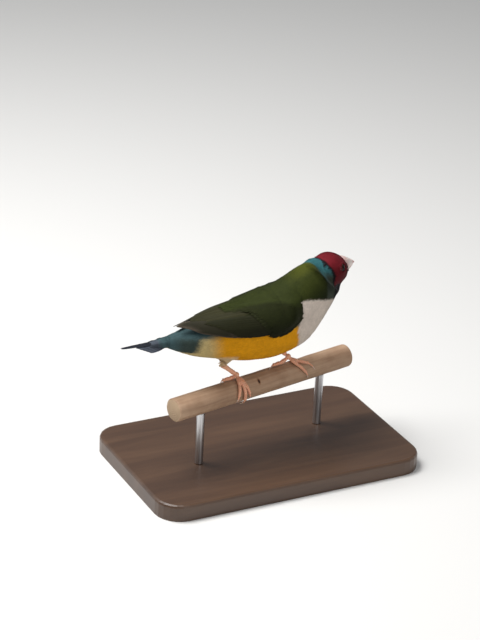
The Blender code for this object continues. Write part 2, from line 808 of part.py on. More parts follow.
def toe(foot, name, reach, claw, collection):
    base = TOE_RADII[name]
    steps = 8
    points, radii = [], []
    for i in range(steps + 1):
        share = i / steps
        pad = 1 + 0.1 * math.cos(share * math.pi * 6)
        radius = base * (1 - 0.28 * share) * pad
        points.append(toe_path(foot, reach, radius, share))
        radii.append(radius)
    toe_solid = tube("toe", points, radii, collection, sides=7)
    claw_points, claw_radii = [], []
    for i in range(6):
        share = i / 5
        place, angle = Vector(reach).lerp(Vector(claw), 1.12 * share - 0.12)
        radius = CLAW_RADIUS * (1 - 0.78 * share)
        arch = math.sin(math.pi * share) * 0.35 * MM + 0.15 * MM * (1 - share)
        claw_points.append(by_perch(foot["hub"] + place, angle, GAP + 0.05 * MM + radius + arch))
        claw_radii.append(radius)
    return [toe_solid, tube("claw", claw_points, claw_radii, collection, sides=6)]


def leg(side_name, collection):
    foot = FEET[side_name]
    hub = hub_centre(foot)
    heel = Vector(foot["heel"]) * MM + Vector((0, 0, PERCH_HEIGHT))
    way = (heel - hub).normalized()
    joint = hub + way * HUB_RADIUS * 0.9
    made = ball("foot_" + side_name, hub, [HUB_RADIUS] * 3, collection, sides=12, rings=8)
    kept_side(made, joint, -way)
    pieces = []
    for name, (reach, claw) in foot["toes"].items():
        pieces += toe(foot, name, reach, claw, collection)
    combine(made, pieces)
    finish(made, "flesh", 0.5)
    shank_start = joint + way * GAP
    shank_points = [shank_start.lerp(heel, i / 6) for i in range(7)]
    shank_radii = [SHANK_RADIUS * (1.1 + i / 24 - 0.25 * math.sin(math.pi * i / 6)) for i in range(7)]
    shank = tube("shank_" + side_name, shank_points, shank_radii, collection, sides=10)
    finish(shank, "flesh", 0.5)
    thigh_top = Vector(foot["thigh"]) * MM + Vector((0, 0, PERCH_HEIGHT))
    down = (heel - thigh_top).normalized()
    knee = heel - down * 0.2 * MM
    thigh_points = [thigh_top.lerp(knee, i / 8) for i in range(9)]
    thigh_radii = [blend(*THIGH_RADII, ease(i / 8)) * math.sin(0.5 + i / 7.4) ** 0.6 for i in range(9)]
    thigh = tube("thigh_" + side_name, thigh_points, thigh_radii, collection, sides=14)
    return made, shank, thigh


def perch(collection):
    """A cut, barked-off branch: round, a little uneven, thinner only where nothing grips it."""
    draw = random.Random(5)
    along, near = perch_axes()
    rows, sides = 14, 20
    rings = []
    for i in range(rows):
        place = blend(-PERCH_LENGTH / 2, PERCH_LENGTH / 2, i / (rows - 1)) / MM
        gripped = min(min(abs(place - foot["hub"]) for foot in FEET.values()) / 16, 1)
        ring = []
        for j in range(sides):
            dent = draw.uniform(0, 0.22) * MM * gripped
            ring.append(by_perch(place, 360 * j / sides, -dent))
        rings.append(ring)
    return finish(loft("perch", rings, collection), "branch", 0.7)


def stand(collection):
    mesh = bpy.data.meshes.new("stand_base")
    work = bmesh.new()
    bmesh.ops.create_cube(work, size=1)
    size = Matrix.Diagonal((BASE_LENGTH, BASE_WIDTH, BASE_THICKNESS, 1))
    bmesh.ops.transform(work, matrix=Matrix.Translation((0, 0, BASE_THICKNESS / 2)) @ size, verts=work.verts)
    upright = [e for e in work.edges if abs(e.verts[0].co.z - e.verts[1].co.z) > BASE_THICKNESS / 2]
    bmesh.ops.bevel(work, geom=upright, offset=BASE_CORNER, segments=6, profile=0.5, affect="EDGES")
    rim = [e for e in work.edges if all(v.co.z > BASE_THICKNESS * 0.9 for v in e.verts)]
    rim = [e for e in rim if any(abs(f.normal.z) < 0.5 for f in e.link_faces)]
    bmesh.ops.bevel(work, geom=rim, offset=1.2 * MM, segments=2, profile=0.5, affect="EDGES")
    work.to_mesh(mesh)
    work.free()
    base = add_object("stand_base", mesh, collection)
    face_out(base)
    finish(base, "stand wood", 0.4)
    along, _ = perch_axes()
    for letter, place in zip("ab", ROD_PLACES):
        foot = along * place
        bottom = Vector((foot.x, foot.y, BASE_THICKNESS + GAP))
        top = Vector((foot.x, foot.y, PERCH_HEIGHT))
        rod = tube("stand_rod_" + letter, [bottom, top], [ROD_RADIUS] * 2, collection, sides=20)
        ends = [Vector((0, 0, PERCH_HEIGHT)) + along * (place + s * 8 * MM) for s in (-1, 1)]
        saddle = tube("saddle", ends, [PERCH_RADIUS + GAP] * 2, collection, sides=40)
        combine(rod, [saddle], "DIFFERENCE")
        finish(rod, "steel", 0.3, 1.0)


def main():
    for old in list(bpy.data.objects):
        bpy.data.objects.remove(old)
    bird = new_collection("gouldian_finch")
    body = whole_body(bird)
    torso = head_and_neck(body, bird)
    bill(bird)
    bpy.context.view_layer.update()
    tree = BVHTree.FromObject(body, bpy.context.evaluated_depsgraph_get())
    for side, name in ((1, "left"), (-1, "right")):
        finish(wing("wing_" + name, side, tree, bird), "green")
    tail(bird)
    for name in FEET:
        made, shank, thigh = leg(name, bird)
        cutters = [swollen(torso, "cutter", bird), swollen(shank, "cutter", bird)]
        combine(thigh, cutters, "DIFFERENCE")
        finish(thigh, "yellow")
    perch(bird)
    stand(bird)
    bpy.data.objects.remove(body)


main()
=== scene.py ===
"""A Gouldian finch on its perch and display stand: skin, feathers, bill, eyes and feet over the solids.

Metres, +Z up. The bird faces +X, its left side is +Y. The origin is the middle of the stand's underside.
"""

import math
import random

import bmesh
import bpy
import numpy as np
from mathutils import Matrix, Vector
from mathutils.bvhtree import BVHTree


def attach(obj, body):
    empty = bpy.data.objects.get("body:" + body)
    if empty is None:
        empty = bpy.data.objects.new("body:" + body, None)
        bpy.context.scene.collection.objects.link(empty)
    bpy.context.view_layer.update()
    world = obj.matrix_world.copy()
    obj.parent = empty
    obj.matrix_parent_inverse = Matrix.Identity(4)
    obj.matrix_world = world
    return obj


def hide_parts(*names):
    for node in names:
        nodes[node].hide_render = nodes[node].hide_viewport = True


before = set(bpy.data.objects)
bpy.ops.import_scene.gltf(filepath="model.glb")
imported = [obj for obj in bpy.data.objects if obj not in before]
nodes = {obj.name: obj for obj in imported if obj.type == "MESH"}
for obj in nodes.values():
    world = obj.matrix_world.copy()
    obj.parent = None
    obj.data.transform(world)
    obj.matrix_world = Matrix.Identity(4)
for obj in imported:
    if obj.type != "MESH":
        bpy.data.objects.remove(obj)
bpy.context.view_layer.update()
MM = 0.001
BODY = "root"

# Camera. It looks at the bird's right side from a little behind and above, a metre away, through a long
# lens. The middle of the perch's own centre line shows at the pinned pixel of the upright picture.
VIEW_AZIMUTH = math.radians(-28)
VIEW_HEIGHT = math.radians(25)
VIEW_ROLL = math.radians(2.9)
VIEW_DISTANCE = 1.03
FOCAL_PIXELS = 2200
IMAGE_WIDTH, IMAGE_HEIGHT = 480, 640
PINNED_PIXEL = (262, 382)
SENSOR = 36.0  # mm, over the picture's long side
PERCH_MIDDLE = Vector((0, 0, 40 * MM))


def way_to(azimuth, height):
    """The direction from the bird to a place round it: 0 is its right side, and 90 degrees its front."""
    level = math.cos(height)
    return Vector((math.sin(azimuth) * level, -math.cos(azimuth) * level, math.sin(height)))


def new_object(name, data):
    made = bpy.data.objects.new(name, data)
    bpy.context.scene.collection.objects.link(made)
    return made


back = way_to(VIEW_AZIMUTH, VIEW_HEIGHT)
level_right = Vector((math.cos(VIEW_AZIMUTH), math.sin(VIEW_AZIMUTH), 0))
plumb_up = back.cross(level_right)
view_right = level_right * math.cos(VIEW_ROLL) + plumb_up * math.sin(VIEW_ROLL)
view_up = plumb_up * math.cos(VIEW_ROLL) - level_right * math.sin(VIEW_ROLL)
off_right = (PINNED_PIXEL[0] - IMAGE_WIDTH / 2) / FOCAL_PIXELS * VIEW_DISTANCE
off_up = (IMAGE_HEIGHT / 2 - PINNED_PIXEL[1]) / FOCAL_PIXELS * VIEW_DISTANCE
lens = bpy.data.cameras.new("camera")
lens.sensor_width = SENSOR
lens.lens = FOCAL_PIXELS / IMAGE_HEIGHT * SENSOR
lens.clip_start = 0.05
camera = new_object("camera", lens)
place = Matrix((view_right, view_up, back)).transposed().to_4x4()
place.translation = PERCH_MIDDLE - view_right * off_right - view_up * off_up + back * VIEW_DISTANCE
camera.matrix_world = place
bpy.context.scene.camera = camera

# Studio. A plain pale floor, a large soft light above and behind the bird, a weaker one on its right side
# and a dim even sky, so that the crown and back are lit and the flank lies in soft shade.
FLOOR_SIZE = 6.0
FLOOR_COLOUR = (0.72, 0.71, 0.69, 1)
SKY_COLOUR = (0.93, 0.96, 1.0, 1)
SKY_STRENGTH = 0.26
LIT_MIDDLE = Vector((0, 0, 0.07))
# Each light: degrees round the bird and up, distance, size and watts.
LIGHTS = (("key", -118, 64, 0.8, 0.45, 10.0), ("fill", 5, 32, 0.9, 0.7, 2.2))


def mesh_object(name, points, faces):
    mesh = bpy.data.meshes.new(name)
    mesh.from_pydata([tuple(p) for p in points], [], faces)
    mesh.update()
    return new_object(name, mesh)


def finish(piece, material, smooth=True):
    """Makes this the piece's only material."""
    piece.data.materials.clear()
    piece.data.materials.append(material)
    if smooth:
        piece.data.shade_smooth()


def blank_material(name, roughness):
    """A new material with its node tree and its main shader."""
    made = bpy.data.materials.new(name)
    made.use_nodes = True
    shader = made.node_tree.nodes["Principled BSDF"]
    shader.inputs["Roughness"].default_value = roughness
    return made, made.node_tree, shader


def set_inputs(node, **values):
    """Sets a node's inputs by their names, with _ for a space."""
    for key, value in values.items():
        node.inputs[key.replace("_", " ")].default_value = value


def add_light(name, azimuth, height, distance, size, power):
    """A square soft light that faces the bird."""
    lamp = bpy.data.lights.new(name, "AREA")
    lamp.size = size
    lamp.energy = power
    made = new_object(name, lamp)
    way = way_to(math.radians(azimuth), math.radians(height))
    made.location = LIT_MIDDLE + way * distance
    made.rotation_mode = "QUATERNION"
    made.rotation_quaternion = (-way).to_track_quat("-Z", "Y")


half = FLOOR_SIZE / 2
corners = [(x * half, y * half, 0) for x, y in ((-1, -1), (1, -1), (1, 1), (-1, 1))]
floor = mesh_object("floor", corners, [(0, 1, 2, 3)])
pale_floor, _, shader = blank_material("pale floor", 0.8)
set_inputs(shader, Base_Color=FLOOR_COLOUR)
finish(floor, pale_floor, smooth=False)
sky = bpy.data.worlds.new("studio")
sky.use_nodes = True
set_inputs(sky.node_tree.nodes["Background"], Color=SKY_COLOUR, Strength=SKY_STRENGTH)
bpy.context.scene.world = sky
for light in LIGHTS:
    add_light(*light)
bpy.context.scene.view_settings.view_transform = "Standard"

# Stand. A flat base of dark oiled wood, and two bright steel rods let into it that hold the perch by its
# underside. Both are the solids themselves, with their finishes.
WALNUT = (
    (0.0, 0.030, 0.014, 0.008),
    (0.45, 0.065, 0.032, 0.017),
    (0.75, 0.105, 0.055, 0.029),
    (1.0, 0.150, 0.083, 0.045),
)
STEEL = ((0.3, 0.46, 0.46, 0.47), (0.7, 0.66, 0.66, 0.67))
GRAIN_STRETCH, BRUSH_STRETCH = (9, 95, 60), (1500, 1500, 60)


def add_node(tree, kind, inputs=(), **settings):
    """A node with its settings and its inputs, each a value or the socket that feeds it."""
    made = tree.nodes.new(kind)
    for key, value in settings.items():
        setattr(made, key, value)
    for key, value in dict(inputs).items():
        if isinstance(value, bpy.types.NodeSocket):
            tree.links.new(value, made.inputs[key])
        else:
            made.inputs[key].default_value = value
    return made


def object_place(tree, turn=(0, 0, 0), scale=(1, 1, 1), middle=(0, 0, 0)):
    """Object coordinates, turned and scaled about a middle."""
    place = add_node(tree, "ShaderNodeTexCoord").outputs["Object"]
    inputs = {"Vector": place, "Location": middle, "Rotation": turn}
    place = add_node(tree, "ShaderNodeMapping", inputs, vector_type="TEXTURE").outputs["Vector"]
    inputs = {0: place, 1: scale}
    return add_node(tree, "ShaderNodeVectorMath", inputs, operation="MULTIPLY").outputs["Vector"]


def noise(tree, vector, scale, detail=4.0, roughness=0.55, distortion=0.0):
    inputs = {"Vector": vector, "Scale": scale, "Detail": detail, "Roughness": roughness}
    inputs["Distortion"] = distortion
    return add_node(tree, "ShaderNodeTexNoise", inputs).outputs["Fac"]


def ramp(tree, stops, source):
    """A colour ramp over source. Each stop: place, red, green, blue, or place and one grey."""
    made = tree.nodes.new("ShaderNodeValToRGB")
    band = made.color_ramp
    while len(band.elements) < len(stops):
        band.elements.new(0.5)
    for stop, (place_at, *rgb) in zip(band.elements, stops):
        stop.position = place_at
        stop.color = (*(rgb * 3 if len(rgb) == 1 else rgb), 1)
    tree.links.new(source, made.inputs["Fac"])
    return made.outputs["Color"]


def paint(tree, shader, colour):
    tree.links.new(colour, shader.inputs["Base Color"])


def bump(tree, shader, height, strength, distance):
    made = add_node(tree, "ShaderNodeBump", {"Height": height, "Strength": strength, "Distance": distance})
    tree.links.new(made.outputs["Normal"], shader.inputs["Normal"])


walnut, tree, shader = blank_material("oiled dark wood", 0.38)
along = object_place(tree, scale=GRAIN_STRETCH)
grain = noise(tree, along, 1.0, detail=7.0, roughness=0.62, distortion=0.5)
paint(tree, shader, ramp(tree, WALNUT, grain))
bump(tree, shader, grain, 0.25, 0.0004)
set_inputs(shader, Coat_Weight=0.25, Coat_Roughness=0.3)

steel, tree, shader = blank_material("brushed steel", 0.28)
set_inputs(shader, Metallic=1.0)
brushing = noise(tree, object_place(tree, scale=BRUSH_STRETCH), 1.0, detail=2.0)
paint(tree, shader, ramp(tree, STEEL, brushing))
bump(tree, shader, brushing, 0.12, 0.0001)
finish(nodes["stand_base"], walnut, smooth=False)
for rod in ("stand_rod_a", "stand_rod_b"):
    finish(nodes[rod], steel, smooth=False)

# Perch. A straight stick of peeled, weathered softwood, sawn off at both ends, a little uneven,
# with a small dark knot under the bird and fine cracks along its grain.
PERCH_RADIUS = 5.65 * MM
PERCH_LENGTH = 104 * MM
PERCH_TURN = math.radians(12)
PERCH_ROWS, PERCH_SIDES = 210, 88
END_CHAMFER = 0.5 * MM
KNOT_ALONG, KNOT_ANGLE = -5.5 * MM, math.radians(49)
KNOT_RADIUS, KNOT_NARROW = 0.9 * MM, 1.9  # narrower along the stick than across it
KNOT_RISE, KNOT_PIT = 0.16, 0.30  # mm, its rim and its heart
SWELL_DEPTH, CRACK_DEPTH = 0.10, 0.05  # mm
PEEL_STRETCH = (22, 420, 420)
PEELED = (
    (0.25, 0.27, 0.158, 0.096),
    (0.42, 0.37, 0.234, 0.144),
    (0.6, 0.45, 0.296, 0.190),
    (0.8, 0.57, 0.400, 0.272),
)
KNOT_SHADE = ((0.0, 0.05, 0.025, 0.02), (0.36, 0.12, 0.06, 0.04), (0.55, 0.75, 0.62, 0.5), (1.0, 1.0))
SAWN = ((0.0, 0.28, 0.175, 0.100), (0.6, 0.47, 0.330, 0.208), (1.0, 0.57, 0.425, 0.282))
HEART = Vector((0, 0.0011, 0.0008))  # of the rings, off the stick's middle
perch_along = Vector((math.cos(PERCH_TURN), math.sin(PERCH_TURN), 0))
perch_near = Vector((math.sin(PERCH_TURN), -math.cos(PERCH_TURN), 0))


def by_perch(along_distance, angle, reach):
    """A point by its place along the perch, its angle from the top to the right and its distance out."""
    way = perch_near * math.sin(angle) + Vector((0, 0, 1)) * math.cos(angle)
    return PERCH_MIDDLE + perch_along * along_distance + way * reach


def ring_faces(bands, sides, count):
    """Faces between rings of count points in all. With a band for each ring, the last band closes."""
    made = []
    for i in range(bands):
        for j in range(sides):
            a, b = i * sides + j, i * sides + (j + 1) % sides
            made.append((a, b, (b + sides) % count, (a + sides) % count))
    return made


def math_of(tree, operation, *values):
    """What a math node makes of these sockets or numbers."""
    return add_node(tree, "ShaderNodeMath", enumerate(values), operation=operation).outputs[0]


def mixed(tree, kind, amount, first, second):
    """Two colours blended by an amount. Each of the three may be a socket or a value."""
    settings = {"data_type": "RGBA", "blend_type": kind, "clamp_result": True}
    return add_node(tree, "ShaderNodeMix", {0: amount, 6: first, 7: second}, **settings).outputs[2]


draw = random.Random(3)
waves = [(draw.randint(1, 5), draw.uniform(20, 120), draw.uniform(0, 6.28)) for _ in range(9)]
cracks = [(draw.randint(9, 26), draw.uniform(5, 60), draw.uniform(0, 6.28)) for _ in range(12)]
points = []
for i in range(PERCH_ROWS + 1):
    run = (i / PERCH_ROWS - 0.5) * PERCH_LENGTH
    chamfer = max(0, END_CHAMFER - (PERCH_LENGTH / 2 - abs(run)))
    for j in range(PERCH_SIDES):
        angle = 2 * math.pi * j / PERCH_SIDES
        swell = sum(math.sin(k * angle + f * run * 6 + p) for k, f, p in waves) / len(waves)
        crack = sum(math.sin(k * angle + f * run + p) for k, f, p in cracks) / len(cracks)
        from_knot = math.hypot(KNOT_NARROW * (run - KNOT_ALONG), (angle - KNOT_ANGLE) * PERCH_RADIUS)
        from_knot /= KNOT_RADIUS
        knot = KNOT_RISE * math.exp(-(from_knot / 1.8) ** 2) - KNOT_PIT * math.exp(-(from_knot**4))
        dent = (SWELL_DEPTH * (swell - 1) + CRACK_DEPTH * crack + knot) * MM
        points.append(by_perch(run, angle, PERCH_RADIUS + dent - chamfer))
faces = [(a, d, c, b) for a, b, c, d in ring_faces(PERCH_ROWS, PERCH_SIDES, len(points))]
last_row = PERCH_ROWS * PERCH_SIDES
faces.append(tuple(range(PERCH_SIDES)))
faces.append(tuple(range(last_row + PERCH_SIDES - 1, last_row - 1, -1)))
perch = mesh_object("perch_stick", points, faces)

peeled, tree, shader = blank_material("peeled stick", 0.72)
along = object_place(tree, turn=(0, 0, PERCH_TURN), scale=PEEL_STRETCH, middle=PERCH_MIDDLE)
streaks = noise(tree, along, 1.0, detail=6.0, roughness=0.6, distortion=0.3)
blotches = noise(tree, object_place(tree), 95.0, detail=5.0)
stain = ramp(tree, ((0.32, 0.72, 0.64, 0.58), (0.6, 1.0)), blotches)
wood = mixed(tree, "MULTIPLY", 0.8, ramp(tree, PEELED, streaks), stain)
knot_place = by_perch(KNOT_ALONG, KNOT_ANGLE, PERCH_RADIUS)
knot_vector = object_place(tree, turn=(0, 0, PERCH_TURN), scale=(KNOT_NARROW, 1, 1), middle=knot_place)
length = add_node(tree, "ShaderNodeVectorMath", {0: knot_vector}, operation="LENGTH")
spread = math_of(tree, "DIVIDE", length.outputs["Value"], KNOT_RADIUS * 2.6)
paint(tree, shader, mixed(tree, "MULTIPLY", 1.0, wood, ramp(tree, KNOT_SHADE, spread)))
bump(tree, shader, streaks, 0.5, 0.0005)

sawn, tree, shader = blank_material("sawn end", 0.85)
across = object_place(tree, turn=(0, 0, PERCH_TURN), middle=PERCH_MIDDLE + HEART)
growth = {"Vector": across, "Scale": 330.0, "Distortion": 1.6, "Detail": 3.0}
rings = add_node(tree, "ShaderNodeTexWave", growth, wave_type="RINGS", rings_direction="X")
paint(tree, shader, ramp(tree, SAWN, rings.outputs["Fac"]))
bump(tree, shader, rings.outputs["Fac"], 0.3, 0.0003)
finish(perch, peeled)
perch.data.materials.append(sawn)
for face in perch.data.polygons[-2:]:
    face.material_index = 1
perch.data.set_sharp_from_angle(angle=math.radians(50))
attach(perch, BODY)
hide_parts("perch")

# Skin. The bird's body under its feathers: torso, thighs, neck and head as one unbroken hide, a coat's
# depth inside the solids. It carries the plumage's colours, how the feathers lie and where each kind grows.
HEAD_LENGTH = 18.6 * MM
HEAD_CENTRE = Vector((34.1, 3.0, 91.2)) * MM
HEAD_TURN = math.radians(24)
HEAD_DIP = math.radians(4)
BILL_DROOP = math.radians(1.6)
BILL_CUT = 0.425 * HEAD_LENGTH  # ahead of the head's centre
BILL_CUT_LEAN = math.radians(11)
EYE_RADIUS = 2.5 * MM
EYE_PLACE = (-0.2 * MM, 5.6 * MM, 2.4 * MM)  # ahead, out and up in the head's frame
EYE_WELL = (2.6 * MM, 3.6 * MM)  # from an eye's centre: the skin stands at the solid, then at its depth
EYE_BARE = (2.7 * MM, 2.95 * MM)  # from an eye's centre: no feathers yet, then all
BILL_BARE = (-1.05 * MM, -0.75 * MM)  # from the bill's cut: the last feathers, then none
SKIN_VOXEL = 0.5 * MM
BRIDGE = 0.2 * MM  # closes the seams between the solids
COAT_DEPTH_BODY, COAT_DEPTH_FACE = 0.50 * MM, 0.30 * MM
FACE_TAPER, FACE_TAPER_SPAN = 0.4 * MM, (-2.6 * MM, -0.3 * MM)  # more, before the bill's cut
FACE_BORDER, NECK_BORDER = (-8.5, -6.0), (9, 14)  # mm, where one coat passes into the next
SHOWN_AT = 0.7  # of a feather's length, where its colour is seen
LENGTH_FACE, LENGTH_NECK, LENGTH_BODY = 1.15 * MM, 1.9 * MM, 2.5 * MM  # of the feathers
# The trunk's axis from the tail's root to the head, as place ahead and height in mm.
AXIS = (
    (-52, 69.6), (-45, 69.0), (-39, 68.7), (-27, 68.6), (-10.5, 69.0), (3.4, 71.2),
    (12.6, 75.7), (19.1, 80.8), (24.6, 85.4), (29.5, 89.4), (34, 91.2),
)
# Each thigh's top and heel, in mm.
THIGHS = (((-15.5, -6.2, 64.0), (-23.9, -5.2, 55.6)), ((12.5, 6.2, 64.0), (8.6, 6.4, 55.2)))
# The mask's red twice: the first on the crown in painted top light, the second on the face's sides in
# painted shade.
MASK_LIT_RED, MASK_SHADED_RED = (0.210, 0.016, 0.024), (0.135, 0.009, 0.014)
MASK_BLACK = (0.006, 0.004, 0.006)
# The collar's blue twice: the first on the nape in painted top light, the second grey-teal on the sides in
# painted shade.
COLLAR_LIT_BLUE, COLLAR_SHADED_SIDE = (0.046, 0.172, 0.190), (0.044, 0.055, 0.040)
BACK_GREEN = (0.033, 0.042, 0.0085)
# The nape's lighter green, then painted shade for the neck's lower part.
NECK_GREEN, NECK_PAINTED_SHADE = (0.074, 0.084, 0.010), (0.012, 0.017, 0.0035)
BREAST_WHITE = (0.76, 0.65, 0.56)
BELLY_YELLOW = (0.79, 0.34, 0.007)
VENT_CREAM, THIGH_CREAM = (0.60, 0.46, 0.205), (0.80, 0.58, 0.34)
RUMP_TEAL, FLANK_TEAL = (0.060, 0.108, 0.116), (0.043, 0.062, 0.055)


def head_axes(droop=0.0):
    """Forward, left and up directions of the head, or of the bill with its droop."""
    dip = HEAD_DIP + droop
    flat = Vector((math.cos(HEAD_TURN), math.sin(HEAD_TURN), 0))
    left = Vector((-math.sin(HEAD_TURN), math.cos(HEAD_TURN), 0))
    forward = flat * math.cos(dip) - Vector((0, 0, math.sin(dip)))
    return forward, left, forward.cross(left)


def on_head(ahead, out, up):
    forward, left, above = head_axes()
    return HEAD_CENTRE + forward * ahead + left * out + above * up


def in_head(points):
    """Points in the head's own frame, in mm: ahead, left, up."""
    return (points - np.array(HEAD_CENTRE)) @ np.array(head_axes()).T / MM


def step(low, high, value):
    """0 below low, 1 above high, and smooth between."""
    t = np.clip((value - low) / (high - low), 0, 1)
    return t * t * (3 - 2 * t)


def read_points(mesh):
    flat = np.empty(len(mesh.vertices) * 3)
    mesh.vertices.foreach_get("co", flat)
    return flat.reshape(-1, 3)


def read_normals(mesh):
    flat = np.empty(len(mesh.vertices) * 3, np.float32)
    mesh.vertex_normals.foreach_get("vector", flat)
    return flat.reshape(-1, 3).astype(float)


def write_points(mesh, points):
    mesh.vertices.foreach_set("co", points.ravel())
    mesh.update()


def write_values(mesh, name, kind, values):
    """Stores one value a point as a named attribute."""
    layer = mesh.attributes.new(name, kind, "POINT")
    key = {"FLOAT": "value", "FLOAT_VECTOR": "vector", "FLOAT_COLOR": "color"}[kind]
    layer.data.foreach_set(key, np.asarray(values, np.float32).ravel())


def write_colours(mesh, colours):
    write_values(mesh, "plumage", "FLOAT_COLOR", np.c_[colours, np.ones(len(colours))])


def stored(tree, name, output="Fac"):
    """What a mesh carries under this name, as a value or a colour."""
    return add_node(tree, "ShaderNodeAttribute", attribute_name=name).outputs[output]


def joined_copy(name, names, grow=0.0):
    """A new object of these solids, each with its points merged and moved outwards."""
    work = bmesh.new()
    for node in names:
        piece = bmesh.new()
        piece.from_mesh(nodes[node].data)
        bmesh.ops.remove_doubles(piece, verts=piece.verts, dist=2e-6)
        piece.normal_update()
        moves = [(v, v.normal * grow) for v in piece.verts]
        for v, move in moves:
            v.co += move
        mesh = bpy.data.meshes.new("piece")
        piece.to_mesh(mesh)
        piece.free()
        work.from_mesh(mesh)
    mesh = bpy.data.meshes.new(name)
    work.to_mesh(mesh)
    work.free()
    return new_object(name, mesh)


def frozen(made):
    """Replaces the object's mesh with what its modifiers make of it."""
    bpy.context.view_layer.update()
    graph = bpy.context.evaluated_depsgraph_get()
    mesh = bpy.data.meshes.new_from_object(made.evaluated_get(graph))
    made.modifiers.clear()
    made.data = mesh
    return made


def remeshed(made, voxel, rounds):
    """Runs an object's bodies into one smooth skin."""
    melt = made.modifiers.new("melt", "REMESH")
    melt.mode = "VOXEL"
    melt.voxel_size = voxel
    soften = made.modifiers.new("soften", "SMOOTH")
    soften.factor = 0.5
    soften.iterations = rounds
    return frozen(made)


axis_points = np.array([(x, 0, z) for x, z in AXIS]) * MM
axis_fine = np.array([
    axis_points[i] + (axis_points[i + 1] - axis_points[i]) * t
    for i in range(len(axis_points) - 1)
    for t in np.linspace(0, 1, 8, endpoint=False)
])
axis_run = np.concatenate([[0], np.cumsum(np.linalg.norm(np.diff(axis_fine, axis=0), axis=1))])


def along_body(points):
    """For each point: the nearest place of the trunk's axis, its run from the tail and the way ahead."""
    nearest = np.argmin(((points[:, None, :] - axis_fine[None]) ** 2).sum(2), axis=1)
    ahead = np.gradient(axis_fine, axis=0)
    ahead /= np.linalg.norm(ahead, axis=1)[:, None]
    return axis_fine[nearest], axis_run[nearest], ahead[nearest]


def plain(value, points):
    """The same colour or direction for every point."""
    return np.tile(np.array(value), (len(points), 1))


def over(under, colour, share):
    return under + (np.array(colour) - under) * share[:, None]


def greens(points):
    """The colour of back and neck: the nape's own lighter green, kept to its ridge by painted top light,
    and painted shade low on the neck.
    """
    x, y, z = (points / MM).T
    # Painted top light: the nape's lighter green stays on the top ridge and fades down the sides.
    lit_ridge = 1 - 0.8 * step(2.5, 6.5, np.abs(y))
    colour = over(plain(BACK_GREEN, points), NECK_GREEN, step(8, 16, x) * lit_ridge)
    # Painted shade on the neck's lower part.
    return over(colour, NECK_PAINTED_SHADE, step(0, 14, x) * (1 - step(-2, 10, z - 77.5 - 0.62 * (x - 12))))


def plumage(points):
    """The colour of the plumage at each point of the body. Its borders are places in mm."""
    x, y, z = (points / MM).T
    ahead, _, up = in_head(points).T
    colour = greens(points)
    low_side = 72.6 - 0.02 * x
    below = 1 - step(low_side - 0.8, low_side + 0.8, z)
    colour = over(colour, VENT_CREAM, below)
    yellow = below * step(-34, -24, x + 0.15 * (z - 66)) * step(-27, -18, x + 3 * (z - 58.5))
    colour = over(colour, BELLY_YELLOW, yellow)
    teal = (1 - step(-39.0, -34.0, x - 0.25 * (z - 70))) * step(63.4, 65.0, z + 0.02 * (x + 44))
    colour = over(colour, FLANK_TEAL, teal)
    rump = (1 - step(-34, -24, x)) * step(70.5, 73.5, z)
    colour = over(colour, RUMP_TEAL, np.maximum(rump, teal * (1 - step(-50, -43, x))))
    breast_top = 84.25 - 0.225 * np.maximum(x - 17, 0) - 0.035 * np.maximum(x - 28, 0) ** 2
    breast_top -= 0.02 * np.maximum(6 - np.abs(y), 0)
    belly_front = 10.2 + 0.25 * np.maximum(70 - z, 0)
    low = 1 - step(breast_top - 0.5, breast_top + 0.5, z)
    colour = over(colour, BREAST_WHITE, low * step(belly_front - 0.9, belly_front + 0.9, x))
    mask_edge = -4.8 - 2.4 * step(-1, 6, up) - 0.8 * step(3, 7, -up)
    collar_edge = -12.2 - 0.8 * step(2, 5, up)
    behind = step(collar_edge - 0.8, collar_edge + 0.8, ahead)
    behind *= step(breast_top - 0.4, breast_top + 0.8, z)
    # The collar is grey-teal on the sides in painted shade, and bright blue on top in painted top light.
    colour = over(colour, COLLAR_SHADED_SIDE, behind)
    colour = over(colour, COLLAR_LIT_BLUE, behind * step(-1.5, 3.5, up))
    rim = step(mask_edge - 1.6, mask_edge - 1.1, ahead) * step(breast_top - 0.3, breast_top + 0.5, z)
    colour = over(colour, MASK_BLACK, rim)
    chin = -5.4 - 0.16 * np.maximum(ahead, 0)
    red = step(mask_edge - 0.25, mask_edge + 0.25, ahead) * step(chin - 0.5, chin + 0.5, up)
    # The face's sides take the red in painted shade, and the crown takes it in painted top light.
    return over(over(colour, MASK_SHADED_RED, red), MASK_LIT_RED, red * step(1.5, 6.5, up))


def eye_centre(side):
    return on_head(EYE_PLACE[0], side * EYE_PLACE[1], EYE_PLACE[2])


def from_eyes(points):
    """Each point's distance from the nearer eye's centre."""
    gaps = [np.linalg.norm(points - np.array(eye_centre(side)), axis=1) for side in (-1, 1)]
    return np.min(gaps, axis=0)


bill_way, _, bill_above = head_axes(BILL_DROOP)
bill_root = HEAD_CENTRE + bill_way * BILL_CUT
to_bill = bill_way * math.cos(BILL_CUT_LEAN) + bill_above * math.sin(BILL_CUT_LEAN)


def past_cut(points):
    """How far each point lies ahead of the bill's cut."""
    return (points - np.array(bill_root)) @ np.array(to_bill)


def in_surface(ways, normals):
    """Directions laid into the surface, at length 1."""
    flat = ways - normals * (ways * normals).sum(1)[:, None]
    return flat / (np.linalg.norm(flat, axis=1)[:, None] + 1e-9)


